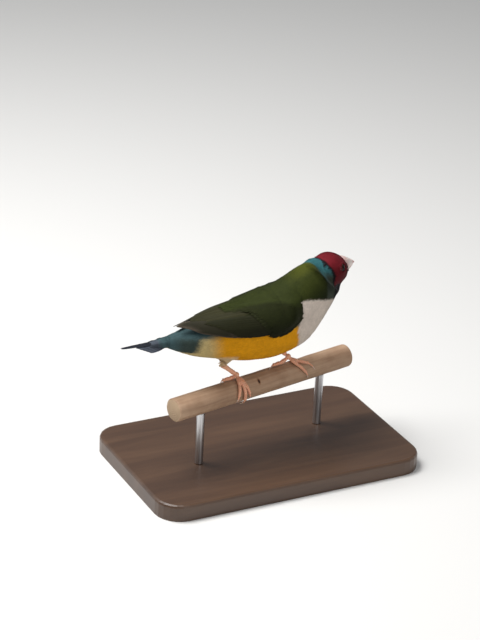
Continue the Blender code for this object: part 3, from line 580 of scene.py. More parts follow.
under_feathers = ("torso", "neck", "head", "thigh_left", "thigh_right")
skin = remeshed(joined_copy("body_skin", under_feathers, BRIDGE), SKIN_VOXEL, rounds=8)
points, normals = read_points(skin.data), read_normals(skin.data)
head_ahead = in_head(points)[:, 0]
on_face = step(-9, -4, head_ahead)
depth = COAT_DEPTH_BODY + (COAT_DEPTH_FACE - COAT_DEPTH_BODY) * on_face
depth += FACE_TAPER * step(*FACE_TAPER_SPAN, past_cut(points))
depth = (depth + BRIDGE) * step(*EYE_WELL, from_eyes(points))
points -= normals * depth[:, None]
write_points(skin.data, points)
axis_at, run_at, ahead_at = along_body(points)
from_bill = points - np.array(bill_root + bill_way * 6 * MM)
from_bill /= np.linalg.norm(from_bill, axis=1)[:, None]
round_bill = step(-13, -6, head_ahead)[:, None]
lie = from_bill * round_bill - ahead_at * (1 - round_bill)
lie[:, 2] -= 0.35 * (1 - on_face) * step(4, 11, np.abs(points[:, 1]) / MM)
on_thigh = np.zeros(len(points))
for top, heel in THIGHS:
    down = np.array(heel) - np.array(top)
    down /= np.linalg.norm(down)
    off = points / MM - np.array(top)
    off -= (off @ down)[:, None] * down
    near = (1 - step(3.2, 4.6, np.linalg.norm(off, axis=1))) * (1 - step(59.5, 62.5, points[:, 2] / MM))
    lie = lie * (1 - near)[:, None] + down * near[:, None]
    on_thigh = np.maximum(on_thigh, near)
lie = in_surface(lie, normals)
write_values(skin.data, "lie", "FLOAT_VECTOR", lie)
shown = SHOWN_AT * (LENGTH_BODY + (LENGTH_FACE - LENGTH_BODY) * on_face)
marks = over(plumage(points + lie * shown[:, None] + normals * depth[:, None]), THIGH_CREAM, on_thigh)
write_colours(skin.data, marks)
tip_gap = np.min([from_eyes(points + lie * share * LENGTH_FACE) for share in (0, 0.4, 0.8)], axis=0)
clad = step(*EYE_BARE, tip_gap) * (1 - step(*BILL_BARE, past_cut(points)))
head_side = step(*FACE_BORDER, head_ahead)
neck_side = step(*NECK_BORDER, points[:, 0] / MM) * (1 - head_side)
for side, side_name in ((1, "left"), (-1, "right")):
    half = np.where(side * in_head(points)[:, 1] > 0, clad, 0)
    write_values(skin.data, "face_feathers_" + side_name, "FLOAT", half * head_side)
    half = np.where(side * points[:, 1] > 0, clad, 0)
    write_values(skin.data, "neck_feathers_" + side_name, "FLOAT", half * neck_side)
    write_values(skin.data, "body_feathers_" + side_name, "FLOAT", half * (1 - head_side) * (1 - neck_side))


def unwrap_round(mesh, places, middles, runs, ahead_ways):
    """Unrolls a skin about its own axis: the turn round it runs across and the run along it up."""
    offset = places - middles
    up_ways = np.cross(ahead_ways, np.cross(np.array((0.0, 0, 1)), ahead_ways))
    turn = np.arctan2(offset[:, 1], (offset * up_ways).sum(1)) / (2 * math.pi) + 0.5
    along_share = runs + (offset * ahead_ways).sum(1)
    along_share = (along_share - along_share.min()) / (along_share.max() - along_share.min())
    values = np.empty((len(mesh.loops), 2))
    for face in mesh.polygons:
        corners = [(c, mesh.loops[c].vertex_index) for c in face.loop_indices]
        turns = [turn[v] for _, v in corners]
        wrap = max(turns) - min(turns) > 0.5
        for (c, v), t in zip(corners, turns):
            values[c] = (0.02 + 0.92 * (t + (wrap and t < 0.5)), 0.02 + 0.96 * along_share[v])
    mesh.uv_layers.new(name="OFBake").data.foreach_set("uv", values.ravel())


unwrap_round(skin.data, points, axis_at, run_at, ahead_at)

hide, tree, shader = blank_material("downy skin", 0.85)
mottle = noise(tree, object_place(tree), 1400.0, detail=3.0)
# The skin shows the plumage's colours darkened to between 0.45 and 0.75 in a random mottle: painted shade
# of the depths between the feathers.
shade = ramp(tree, ((0.3, 0.45), (0.7, 0.75)), mottle)
paint(tree, shader, mixed(tree, "MULTIPLY", 1.0, stored(tree, "plumage", "Color"), shade))
bump(tree, shader, mottle, 0.6, 0.0003)
set_inputs(shader, Specular_IOR_Level=0.05)
finish(skin, hide)
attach(skin, BODY)
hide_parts("torso", "neck", "head", "thigh_left", "thigh_right")

# Wings, folded. A smooth shell hugs the body, and over it lie the flight feathers in tiers: primaries with
# pale edges at the tip, then secondaries, tertials and the longest coverts.
WING_SHELL = (0.020, 0.024, 0.0072)
WING_LOW_SHADE = 0.5  # painted shade: of its colour kept at the wing's lower edge
# Each row, in mm and degrees: place ahead, height of its axis over the perch, half width, size up, the
# angles of the upper and the lower edge from straight up, and how far it stands off the body.
WING = (
    (-22.0, 30.4, 13.2, 11.8, 3, 83, 1.5),
    (-10.5, 31.0, 15.2, 13.4, 9, 87, 1.9),
    (0.0, 32.8, 15.9, 14.4, 19, 93, 2.1),
    (7.0, 35.4, 15.6, 14.0, 33, 97, 2.0),
    (11.5, 37.8, 14.6, 13.4, 48, 91, 1.5),
)
WING_REAR, WING_FRONT = WING[0][0], WING[-1][0]
WING_TIP_AHEAD = -46.5
WING_TIP_TOP, WING_TIP_LOW = np.array((0.9, 37.8)), np.array((3.4, 34.9))
TIP_TUCK = 1.3  # mm, how far the left tip lies under the right one
SHELL_END, SHELL_ROUND, SHELL_CUT, FRONT_ROUND = -37.0, 6.0, 12.0, 1.6  # mm, the shell's outline
SHELL_DEPTH, SHELL_THICKNESS = 0.12 * MM, 0.45 * MM
SHELL_ROWS, SHELL_COLUMNS = 70, 26
VANE_ROWS, VANE_COLUMNS = 16, 8
VANE_THICKNESS, SHAFT_RISE = 0.12 * MM, 0.06 * MM
VANE_CAMBER, VANE_RAGGED = 0.20, 0.03  # of its half width
TIP_STRAY, STACKED = 0.3, 0.025  # mm, off a tip's place, and each feather over the one before
# Each tier: how many, root and tip of the first, root and tip of the last as (ahead, across), half width,
# lift at root and tip, inner and edge colour. Across runs from 0 at the upper edge to 1 at the lower.
TIERS = {
    "primaries": (10, ((-14, 0.97), (-39.5, 0.68)), ((-20, 0.45), (-46.4, 0.22)), 1.6, (-0.30, 0.02),
                  (0.046, 0.042, 0.024), (0.18, 0.14, 0.105)),
    "secondaries": (9, ((-2, 0.95), (-21.5, 0.89)), ((-6, 0.48), (-34.5, 0.44)), 1.5, (-0.25, 0.10),
                    (0.026, 0.0265, 0.010), (0.038, 0.037, 0.015)),
    "tertials": (5, ((-6, 0.44), (-30.5, 0.42)), ((-8, 0.10), (-39.5, 0.10)), 2.0, (-0.25, 0.18),
                 (0.039, 0.037, 0.015), (0.056, 0.052, 0.023)),
    "greater_coverts": (11, ((4, 0.94), (-6.0, 0.95)), ((4, 0.24), (-14.5, 0.27)), 1.5, (-0.25, 0.20),
                        (0.020, 0.023, 0.0072), (0.026, 0.029, 0.009)),
    "scapulars": (5, ((4, 0.24), (-9.5, 0.26)), ((-5, 0.06), (-24.0, 0.08)), 1.9, (-0.25, 0.24),
                  (0.027, 0.029, 0.0092), (0.034, 0.036, 0.012)),
}


def hermite(t):
    """How much start, end, the way out of the start and the way into the end count at t of a curve."""
    return 2 * t**3 - 3 * t**2 + 1, 3 * t**2 - 2 * t**3, t**3 - 2 * t**2 + t, t**3 - t**2


def through(keys, at):
    """Reads a smooth curve through keys, rows of (place, values...), at one place."""
    places = np.array([row[0] for row in keys], float)
    values = np.array([row[1:] for row in keys], float)
    slopes = np.gradient(values, places, axis=0)
    i = int(np.clip(np.searchsorted(places, at) - 1, 0, len(places) - 2))
    gap = places[i + 1] - places[i]
    t = float(np.clip((at - places[i]) / gap, 0, 1))
    start, end, lean_out, lean_in = hermite(t)
    curve = start * values[i] + end * values[i + 1]
    return curve + lean_out * gap * slopes[i] + lean_in * gap * slopes[i + 1]


def between(a, b, t):
    return a + (b - a) * t


def wing_section(ahead, across):
    """Out and height of the wing's outer face where it hugs the body."""
    height, half_width, size_up, top, low, _ = through(WING, ahead)
    angle = math.radians(between(top, low, across))
    return np.array([math.sin(angle) * half_width, height + math.cos(angle) * size_up])


def wing_skin(ahead, across, side):
    """A point of the folded wing's full outer face, by place ahead and share from upper to lower edge."""
    held = max(ahead, WING_REAR)
    spot = wing_section(held, across)
    if ahead < held:
        run = held - WING_TIP_AHEAD
        t = (held - ahead) / run
        end = between(WING_TIP_TOP, WING_TIP_LOW, across) - (side > 0) * np.array((0, TIP_TUCK))
        lean = (spot - wing_section(held + 1, across)) * run
        shares = hermite(t)
        spot = shares[0] * spot + shares[2] * lean + shares[1] * end + shares[3] * (end - spot)
    return Vector((ahead * MM, side * spot[0] * MM, PERCH_MIDDLE.z + spot[1] * MM))


def wing_face(ahead, across, side):
    """A point of the wing's outer face, which sinks to the body at its edges, and the way out there."""
    ahead_way = wing_skin(ahead + 0.5, across, side) - wing_skin(ahead - 0.5, across, side)
    down_way = wing_skin(ahead, across + 0.03, side) - wing_skin(ahead, across - 0.03, side)
    out = (ahead_way.cross(down_way) * side).normalized()
    thick = through(WING, ahead)[5]
    edge = min(1, 0.35 + 2.6 * min(across, 1 - across), 0.35 + 0.25 * (WING_FRONT - ahead))
    sink = min(thick * (1 - edge), thick - 0.5) * step(-30, -20, ahead)
    return wing_skin(ahead, across, side) - out * (max(sink, 0) * MM), out


def face_out(made):
    """Turns every face of a closed piece outwards."""
    work = bmesh.new()
    work.from_mesh(made.data)
    bmesh.ops.recalc_face_normals(work, faces=work.faces)
    if work.calc_volume(signed=True) < 0:
        bmesh.ops.reverse_faces(work, faces=work.faces)
    work.to_mesh(made.data)
    work.free()
    return made


def wing_shell(name, side):
    """The closed shell under the wing's feathers."""
    rows, columns = SHELL_ROWS, SHELL_COLUMNS
    outer, inner, shell_faces = [], [], []
    for i in range(rows):
        for j in range(columns):
            across = j / (columns - 1)
            off = abs(2 * across - 1)
            rear = SHELL_END + SHELL_ROUND * off**2 + SHELL_CUT * step(0.55, 1, across)
            front = WING_FRONT - FRONT_ROUND * off**4
            spot, out = wing_face(between(rear, front, i / (rows - 1)), across, side)
            outer.append(spot - out * SHELL_DEPTH)
            inner.append(spot - out * (SHELL_DEPTH + SHELL_THICKNESS))
    count = rows * columns
    for i in range(rows - 1):
        for j in range(columns - 1):
            a, b = i * columns + j, i * columns + j + 1
            shell_faces += [(a, b, b + columns, a + columns)]
            shell_faces += [(count + a, count + a + columns, count + b + columns, count + b)]
    rim = list(range(columns)) + [i * columns + columns - 1 for i in range(1, rows)]
    rim += [(rows - 1) * columns + j for j in range(columns - 2, -1, -1)]
    rim += [i * columns for i in range(rows - 2, 0, -1)]
    shell_faces += [(a, count + a, count + b, b) for a, b in zip(rim, rim[1:] + rim[:1])]
    return face_out(mesh_object(name, outer + inner, shell_faces))


def vane_half(share, half_width, point=0.0):
    """Half width of a feather along its length: a narrow root, parallel sides and a rounded tip."""
    t = min(share / 0.45, 1)
    grown = half_width * (0.6 + 0.4 * t * t * (3 - 2 * t))
    left = min(1, (1 - share) / (0.3 + point))
    return max(grown * math.sqrt(max(0, 1 - (1 - left) ** 2)), 0.06 * half_width)


def write_map(mesh, name, spots):
    """Stores one flat place a point as a UV map."""
    order = np.empty(len(mesh.loops), np.int32)
    mesh.loops.foreach_get("vertex_index", order)
    mesh.uv_layers.new(name=name).data.foreach_set("uv", np.asarray(spots)[order].ravel())


class Feathers:
    """Gathers many vanes into one mesh with their own markings."""

    def __init__(self):
        self.points, self.faces, self.spots, self.colours, self.shades = [], [], [], [], []

    def vane(self, path, half_width, inner, edge, shade, point=0.0, rows=VANE_ROWS, pale=0.9):
        """One closed feather with a raised shaft. path gives its centre, across and outward ways."""
        first = len(self.points)
        columns = VANE_COLUMNS
        for i in range(rows + 1):
            share = i / rows
            centre, across_way, out = path(share)
            reach = vane_half(share, half_width, point)
            for j in range(columns + 1):
                off = 2 * j / columns - 1
                shaft = SHAFT_RISE * math.exp(-(off / 0.14) ** 2) * (1 - 0.7 * share)
                camber = -VANE_CAMBER * reach * off * off
                notch = VANE_RAGGED * half_width * math.sin(37 * share + 9 * off) * abs(off) ** 3
                spot = centre + across_way * (off * reach + notch) + out * (camber + shaft)
                self.points.append(spot)
                self.spots.append((j / columns, share))
                mix = max(abs(off) ** 5, max(0, (share - pale) / (1 - pale)) ** 2)
                self.colours.append([a + (b - a) * mix for a, b in zip(inner, edge)])
                self.shades.append(shade)
            for off in (-0.92, 0.92):
                under = VANE_THICKNESS + 0.18 * reach
                self.points.append(centre + across_way * off * reach - out * under)
                self.spots.append(((off + 1) / 2, share))
                self.colours.append([0.6 * a for a in inner])
                self.shades.append(shade)
        width = columns + 3
        ring = list(range(columns + 1)) + [columns + 2, columns + 1]
        for i in range(rows):
            a, b = first + i * width, first + (i + 1) * width
            for p, q in zip(ring, ring[1:] + ring[:1]):
                self.faces.append((a + p, a + q, b + q, b + p))
        self.faces.append(tuple(first + p for p in reversed(ring)))
        self.faces.append(tuple(first + rows * width + p for p in ring))

    def build(self, name, unwrap, shaded):
        """The feathers as one piece. shaded gives how much of its colour each point keeps under painted
        shade.
        """
        made = mesh_object(name, self.points, self.faces)
        places = np.array(self.points)
        write_map(made.data, "feather", self.spots)
        write_map(made.data, "OFBake", unwrap(places))
        write_colours(made.data, np.array(self.colours) * shaded(places)[:, None])
        write_values(made.data, "shade", "FLOAT", self.shades)
        face_out(made)
        made.data.shade_smooth()
        made.data.set_sharp_from_angle(angle=math.radians(60))
        return made


def wing_path(side, root, tip, lifts):
    """The way of a feather over the wing, from (ahead, across) at its root to the same at its tip."""

    def spot(share):
        place, out = wing_face(between(root[0], tip[0], share), between(root[1], tip[1], share), side)
        return place + out * between(*lifts, share) * MM, out

    def path(share):
        centre, out = spot(share)
        along_way = (spot(min(share + 0.02, 1))[0] - spot(max(share - 0.02, 0))[0]).normalized()
        return centre, out.cross(along_way).normalized(), out

    return path


def wing_unwrap(places):
    """The wing's own surface laid flat: place ahead and height."""
    x, _, z = (places / MM).T
    return np.c_[0.02 + 0.96 * (x + 48) / 62, 0.05 + 0.9 * (z - 68) / 24]


def wing_painted_shade(places):
    """Painted shade: darker towards the wing's lower edge."""
    x, _, z = (places / MM).T
    low = 71.5 - 0.10 * np.minimum(x + 12, 0)
    return WING_LOW_SHADE + (1 - WING_LOW_SHADE) * step(low, low + 10, z)


def feather_material(name, roughness, edge, barbs):
    """Plumage: each feather in its own colour, darker at its root and paler at its tip, with fine barbs."""
    made, tree, shader = blank_material(name, roughness)
    spots = add_node(tree, "ShaderNodeUVMap", uv_map="feather").outputs["UV"]
    split = add_node(tree, "ShaderNodeSeparateXYZ", {"Vector": spots})
    colour = stored(tree, "plumage", "Color")
    patches = noise(tree, object_place(tree), 260.0, detail=3.0)
    slant = math_of(tree, "PINGPONG", split.outputs["X"], 0.5)
    run = math_of(tree, "MULTIPLY_ADD", slant, -0.9, split.outputs["Y"])
    teeth = math_of(tree, "SINE", math_of(tree, "MULTIPLY", run, barbs * 2 * math.pi))
    for stops, source in (
        (((0.0, 0.86), (1.0, 1.0)), stored(tree, "shade")),
        (((0.0, 0.72), (0.5, 0.95), (1.0, *edge)), split.outputs["Y"]),
        (((0.3, 0.86), (0.7, 1.0)), patches),
        (((0.0, 0.82), (1.0, 1.0)), teeth),
    ):
        colour = mixed(tree, "MULTIPLY", 1.0, colour, ramp(tree, stops, source))
    paint(tree, shader, colour)
    bump(tree, shader, teeth, 0.25, 0.00006)
    set_inputs(shader, Sheen_Weight=0.02, Sheen_Roughness=0.45, Specular_IOR_Level=0.06)
    return made


flight_plumage = feather_material("flight feathers", 0.5, (1.03, 1.03, 1.03), 70)
shells, flights = [], []
for side, side_name in ((1, "left"), (-1, "right")):
    shell = wing_shell("wing_shell_" + side_name, side)
    points = read_points(shell.data)
    # The shell's green darkens towards the wing's lower edge: painted shade.
    write_colours(shell.data, np.array(WING_SHELL) * wing_painted_shade(points)[:, None])
    write_map(shell.data, "OFBake", wing_unwrap(points))
    finish(shell, hide)
    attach(shell, BODY)
    shells.append(shell)
    draw = random.Random(11)
    flock = Feathers()
    for tier, (count, first, last, half_width, lifts, inner, edge) in TIERS.items():
        pale = 0.80 if tier == "primaries" else 0.9  # where the tip's pale edge begins
        for i in range(count):
            share = i / (count - 1)
            root = [between(a, b, share) for a, b in zip(first[0], last[0])]
            tip = [between(a, b, share) for a, b in zip(first[1], last[1])]
            tip[0] += draw.uniform(-TIP_STRAY, TIP_STRAY)
            stacked = [lift + STACKED * i for lift in lifts]
            width = half_width * draw.uniform(0.96, 1.04) * MM
            path = wing_path(side, root, tip, stacked)
            flock.vane(path, width, inner, edge, draw.uniform(0.3, 1), pale=pale)
    # Painted shade darkens the feathers towards the wing's lower edge.
    made = flock.build("wing_feathers_" + side_name, wing_unwrap, wing_painted_shade)
    finish(made, flight_plumage, smooth=False)
    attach(made, BODY)
    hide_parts("wing_" + side_name)
    flights.append(made)

# Contour feathers. Thousands of small overlapping leaves, each rooted in the skin and lying back along the
# body: shortest on the face, longer on the neck and longest on the breast, belly and back.
PATCH = 0.003  # of the unwrap, that each feather's colours take
UNRULY = 0.08  # how far feathers lie askew, of the most they could
LENGTH_BACK, BACK_SHOWN = 2.7 * MM, 1.8 * MM  # of the feathers, and where their colour is seen
WING_OVER = 3.5 * MM  # how far off the skin a wing still covers it
CLOAK_GREEN, CLOAK_REAR_GREEN = (0.021, 0.025, 0.0066), (0.028, 0.031, 0.0098)
# The cloak is the smooth outside of back and folded wings together, found by looking in from all round.
CLOAK_REAR, CLOAK_FRONT, CLOAK_SPREAD = -26.0, 13.5, 100  # mm and degrees
CLOAK_ROWS, CLOAK_SIDES = 72, 120
CLOAK_UP = 0.05  # mm over what it covers
CLOAK_AWAY = 40  # mm, from where it looks in
CLOAK_FILLS, CLOAK_SOFTENS = 14, 3  # rounds


def leaf(name, half_width, rise, curl):
    """One closed feather of unit length along +Y, root at the origin: ridge, two edges and an underside."""
    rows = ((0.0, 0.45), (0.3, 0.9), (0.62, 1.0), (0.86, 0.62))
    leaf_points, leaf_spots = [], []
    for t, share in rows:
        reach = half_width * share
        middle = rise * t - curl * t * t
        for off, lift in ((-1, -0.008), (0, 0.008), (1, -0.008), (0, -0.022)):
            leaf_points.append((off * reach, t, middle + lift))
            leaf_spots.append((0.5 + 0.5 * off, t))
    tip = len(leaf_points)
    leaf_faces = ring_faces(len(rows) - 1, 4, tip)
    leaf_points.append((0, 1, rise - curl - 0.01))
    leaf_spots.append((0.5, 1))
    leaf_faces.append((0, 3, 2, 1))
    for j in range(4):
        leaf_faces.append((tip - 4 + j, tip - 4 + (j + 1) % 4, tip))
    made = face_out(mesh_object(name, leaf_points, leaf_faces))
    write_map(made.data, "feather", leaf_spots)
    made.data.shade_smooth()
    made.data.set_sharp_from_angle(angle=math.radians(60))
    return made


def feather_tree():
    """Geometry nodes that scatter one feather over a skin, lay it along and make the whole a plain mesh."""
    made = bpy.data.node_groups.new("feathers over a skin", "GeometryNodeTree")
    for name, kind in (
        ("Skin", "Geometry"), ("Feather", "Object"), ("Spacing", "Float"), ("Length", "Float"),
        ("Where", "String"), ("Finish", "Material"), ("Seed", "Int"), ("Patch", "Float"),
        ("Unruly", "Float"),
    ):
        made.interface.new_socket(name, in_out="INPUT", socket_type="NodeSocket" + kind)
    made.interface.new_socket("Coat", in_out="OUTPUT", socket_type="NodeSocketGeometry")
    given = made.nodes.new("NodeGroupInput").outputs

    def add(kind, inputs, output, **settings):
        """The output of a new node."""
        return add_node(made, kind, inputs, **settings).outputs[output]

    def named(name, kind):
        return add("GeometryNodeInputNamedAttribute", {"Name": name}, "Attribute", data_type=kind)

    def chance(low, high, more_seed):
        inputs = {2: low, 3: high, "Seed": math_of(made, "ADD", given["Seed"], more_seed)}
        return add("FunctionNodeRandomValue", inputs, 1, data_type="FLOAT")

    def store(geometry, name, kind, value, domain="POINT"):
        inputs = {"Geometry": geometry, "Name": name, "Value": value}
        return add("GeometryNodeStoreNamedAttribute", inputs, "Geometry", data_type=kind, domain=domain)

    area = math_of(made, "MULTIPLY", given["Spacing"], given["Spacing"])
    inputs = {
        "Mesh": given["Skin"],
        "Distance Min": given["Spacing"],
        "Density Max": math_of(made, "DIVIDE", 3.0, area),
        "Density Factor": named(given["Where"], "FLOAT"),
        "Seed": given["Seed"],
    }
    scatter = add_node(made, "GeometryNodeDistributePointsOnFaces", inputs, distribute_method="POISSON")
    roots = store(scatter.outputs["Points"], "root", "FLOAT_VECTOR", named("OFBake", "FLOAT_VECTOR"))
    roots = store(roots, "shade", "FLOAT", chance(0.0, 1.0, 1))
    roots = add("GeometryNodeRemoveAttribute", {"Geometry": roots, "Name": "OFBake"}, "Geometry")
    inputs = {"Vector": scatter.outputs["Normal"]}
    way = add("FunctionNodeAlignRotationToVector", inputs, "Rotation", axis="Z")
    inputs = {"Rotation": way, "Vector": named("lie", "FLOAT_VECTOR")}
    way = add("FunctionNodeAlignRotationToVector", inputs, "Rotation", axis="Y", pivot_axis="Z")
    askew = {
        axis: math_of(made, "MULTIPLY", chance(low, high, more_seed), given["Unruly"])
        for axis, low, high, more_seed in (("X", -0.1, 0.25, 2), ("Y", -0.3, 0.3, 3), ("Z", -1.6, 1.6, 4))
    }
    inputs = {"Rotation": way, "Rotate By": add("ShaderNodeCombineXYZ", askew, "Vector")}
    way = add("FunctionNodeRotateRotation", inputs, "Rotation", rotation_space="LOCAL")
    inputs = {
        "Points": roots,
        "Instance": add("GeometryNodeObjectInfo", {"Object": given["Feather"]}, "Geometry"),
        "Rotation": way,
        "Scale": math_of(made, "MULTIPLY", given["Length"], chance(0.82, 1.15, 5)),
    }
    planted = add("GeometryNodeInstanceOnPoints", inputs, "Instances")
    whole = add("GeometryNodeRealizeInstances", {"Geometry": planted}, "Geometry")
    inputs = {0: named("feather", "FLOAT_VECTOR"), 1: (0.5, 0.5, 0)}
    spot = add("ShaderNodeVectorMath", inputs, "Vector", operation="SUBTRACT")
    spot = add("ShaderNodeVectorMath", {0: spot, "Scale": given["Patch"]}, "Vector", operation="SCALE")
    inputs = {0: named("root", "FLOAT_VECTOR"), 1: spot}
    spot = add("ShaderNodeVectorMath", inputs, "Vector", operation="ADD")
    whole = store(whole, "OFBake", "FLOAT2", spot, domain="CORNER")
    whole = add("GeometryNodeSetMaterial", {"Geometry": whole, "Material": given["Finish"]}, "Geometry")
    add_node(made, "NodeGroupOutput", {0: whole})
    return made


feathering = feather_tree()


def feather_coat(name, ground, where, feather, spacing, reach, look, seed, slot, unruly=UNRULY):
    """Grows one coat piece over a skin and gives it to the body."""
    made = new_object(name, ground.data)
    grow = made.modifiers.new("feathers", "NODES")
    grow.node_group = feathering
    given = {
        "Feather": feather, "Spacing": spacing, "Length": reach, "Where": where, "Finish": look,
        "Seed": seed, "Patch": PATCH, "Unruly": unruly,
    }
    for item in feathering.interface.items_tree:
        if item.in_out == "INPUT" and item.name in given:
            grow[item.identifier] = given[item.name]
    frozen(made)
    for layer_name in [a.name for a in made.data.attributes]:
        if layer_name in ("root", "lie", "grows") or "_feathers_" in layer_name:
            made.data.attributes.remove(made.data.attributes[layer_name])
    made.data.shade_smooth()
    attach(made, BODY)


def blurred(grid):
    """Each value as the mean of itself and its eight neighbours."""
    rows, columns = grid.shape
    padded = np.pad(grid, 1, mode="edge")
    return sum(padded[a:a + rows, b:b + columns] for a in range(3) for b in range(3)) / 9


def tree_of(covers):
    """What a ray can hit: the surfaces of these objects together."""
    places, corners = [], []
    for cover in covers:
        first = len(places)
        places += [v.co.copy() for v in cover.data.vertices]
        corners += [tuple(first + k for k in face.vertices) for face in cover.data.polygons]
    return BVHTree.FromPolygons(places, corners)


seen = tree_of([skin] + shells + flights)
grid = np.empty((CLOAK_ROWS + 1, CLOAK_SIDES + 1))
turns = np.radians(np.linspace(-CLOAK_SPREAD, CLOAK_SPREAD, CLOAK_SIDES + 1))
rows = np.linspace(CLOAK_REAR, CLOAK_FRONT, CLOAK_ROWS + 1)
middles = np.interp(rows, [x for x, _ in AXIS], [z for _, z in AXIS])
for i, (x, z) in enumerate(zip(rows, middles)):
    for j, turn in enumerate(turns):
        way = Vector((0, math.sin(turn), math.cos(turn)))
        hit = seen.ray_cast(Vector((x, 0, z)) * MM + way * CLOAK_AWAY * MM, -way)
        grid[i, j] = CLOAK_AWAY - hit[3] / MM
for _ in range(CLOAK_FILLS):
    grid = np.maximum(grid, blurred(grid))
for _ in range(CLOAK_SOFTENS):
    grid = blurred(grid)
points, faces = [], []
for i, (x, z) in enumerate(zip(rows, middles)):
    for j, turn in enumerate(turns):
        reach = grid[i, j] + CLOAK_UP
        points.append(Vector((x, math.sin(turn) * reach, z + math.cos(turn) * reach)) * MM)
        if i < CLOAK_ROWS and j < CLOAK_SIDES:
            a = i * (CLOAK_SIDES + 1) + j
            faces.append((a, a + CLOAK_SIDES + 1, a + CLOAK_SIDES + 2, a + 1))
cloak = mesh_object("cloak", points, faces)
points, normals = read_points(cloak.data), read_normals(cloak.data)
if normals[:, 2].mean() < 0:
    cloak.data.flip_normals()
    normals = -normals
x, _, z = (points / MM).T
turn = np.degrees(np.tile(np.abs(turns), CLOAK_ROWS + 1))
limits = np.array([through(WING, max(place_at, WING_REAR)) for place_at in rows])
upper, lower = np.repeat(limits[:, 3], CLOAK_SIDES + 1), np.repeat(limits[:, 4], CLOAK_SIDES + 1)
# Its feathers reach far back on the ridge and end further ahead down the wings.
rear = -21 + 13 * step(8, 30, turn - upper) + 6 * step(30, 62, turn - upper)
grows = step(rear - 1.5, rear + 1.5, x) * (1 - step(12.0, 13.4, x))
grows *= 1 - step(lower - 1.5, lower + 0.5, turn)
lie = plain((-1.0, 0, 0), points)
lie[:, 2] = -0.30 * step(-14, 8, x) * step(20, 70, turn)
lie = in_surface(lie, normals)
marks = greens(points + lie * BACK_SHOWN)
wing_green = over(plain(CLOAK_GREEN, points), CLOAK_REAR_GREEN, 1 - step(-18, -4, x))
# Painted shade: the cloak's wing green darkens towards the wing's lower edge.
wing_green *= wing_painted_shade(points)[:, None]
marks = marks + (wing_green - marks) * step(4, 16, turn - upper)[:, None]
write_colours(cloak.data, marks)
write_values(cloak.data, "lie", "FLOAT_VECTOR", lie)
write_values(cloak.data, "grows", "FLOAT", grows)
run = (x - CLOAK_REAR) / (CLOAK_FRONT - CLOAK_REAR)
round_share = np.tile(turns, CLOAK_ROWS + 1) / turns[-1]
write_map(cloak.data, "OFBake", np.c_[0.02 + 0.96 * run, 0.5 + 0.48 * round_share])

# Under the wings the body grows none.
wings_seen = tree_of(shells)
points, normals = read_points(skin.data), read_normals(skin.data)
covered = np.zeros(len(points))
for k in np.nonzero((points[:, 0] < CLOAK_FRONT * MM) & (points[:, 0] > SHELL_END * MM))[0]:
    hit = wings_seen.ray_cast(Vector(points[k]), Vector(normals[k]), WING_OVER)
    covered[k] = hit[0] is not None
for name in ("body_feathers_left", "body_feathers_right", "neck_feathers_left", "neck_feathers_right"):
    layer = skin.data.attributes[name]
    grown = np.empty(len(points), np.float32)
    layer.data.foreach_get("value", grown)
    layer.data.foreach_set("value", grown * (1 - covered).astype(np.float32))

face_plumage = feather_material("silky face plumage", 0.6, (1.06, 1.04, 1.04), 9)
soft_plumage = feather_material("soft body plumage", 0.65, (1.04, 1.04, 1.03), 14)
face_leaf = leaf("face_leaf", 0.20, 0.10, 0.04)
neck_leaf = leaf("neck_leaf", 0.18, 0.09, 0.03)
body_leaf = leaf("body_leaf", 0.18, 0.08, 0.03)
# Each kind: its leaf, spacing, length, material, first seed and slot.
COATS = {
    "face": (face_leaf, 0.29 * MM, LENGTH_FACE, face_plumage, 11, "plumage_red"),
    "neck": (neck_leaf, 0.35 * MM, LENGTH_NECK, soft_plumage, 21, "plumage_green"),
    "body": (body_leaf, 0.44 * MM, LENGTH_BODY, soft_plumage, 31, "plumage_belly"),
}
BACK_COAT = (body_leaf, 0.44 * MM, LENGTH_BACK, soft_plumage, 41, "plumage_green")
for more_seed, side_name in enumerate(("left", "right")):
    for kind, (*sort, seed, slot) in COATS.items():
        where = f"{kind}_feathers_{side_name}"
        feather_coat(f"{kind}_coat_{side_name}", skin, where, *sort, seed + more_seed, slot)
feather_coat("mantle_coat", cloak, "grows", *BACK_COAT)
bpy.data.objects.remove(cloak)

# Tail. Twelve slate feathers in a closed fan, with the middle pair drawn out into two thin dark points,
# held in a cone of blue upper and white lower coverts.
TAIL_HEIGHT = 29.7  # mm over the perch's middle
TAIL_PAIRS = 5  # without the drawn-out one
TAIL_ROOT = -52.0
# Each, in mm: root out and up, tip ahead, out and up, and half width.
OUTER_VANE = (1.5, -1.3, -60.6, 3.0, -1.9, 1.5)
INNER_VANE = (0.7, 0.5, -66.0, 1.15, 0.15, 1.35)
PIN_VANE = (0.62, 1.15, -73.0, 0.42, 0.55, 1.25)
SLATE, SLATE_EDGE = (0.060, 0.069, 0.091), (0.145, 0.163, 0.200)
PIN_BLACK, PIN_EDGE = (0.020, 0.022, 0.030), (0.040, 0.045, 0.055)
# The cone's rows, in mm: place ahead, half width, size up and size down.
CONE = ((-60.0, 0.6, 0.4, 0.4), (-58.5, 1.9, 1.0, 1.4), (-54.0, 2.9, 2.0, 2.4), (-49.5, 3.5, 2.9, 3.3))
CONE_ROWS, CONE_SIDES = 24, 28
CONE_INSET = 0.35  # mm, for its feathers
CONE_BLUE = (0.085, 0.100, 0.125)
LENGTH_TAIL = 3.0 * MM  # of its feathers


def tail_unwrap(points):
    """The tail's own surface laid flat: place ahead, and out with height."""
    x, y, z = (points / MM).T
    return np.c_[0.02 + 0.94 * (x + 75) / 28, 0.5 + (y + 0.8 * (z - 69.7)) / 14]


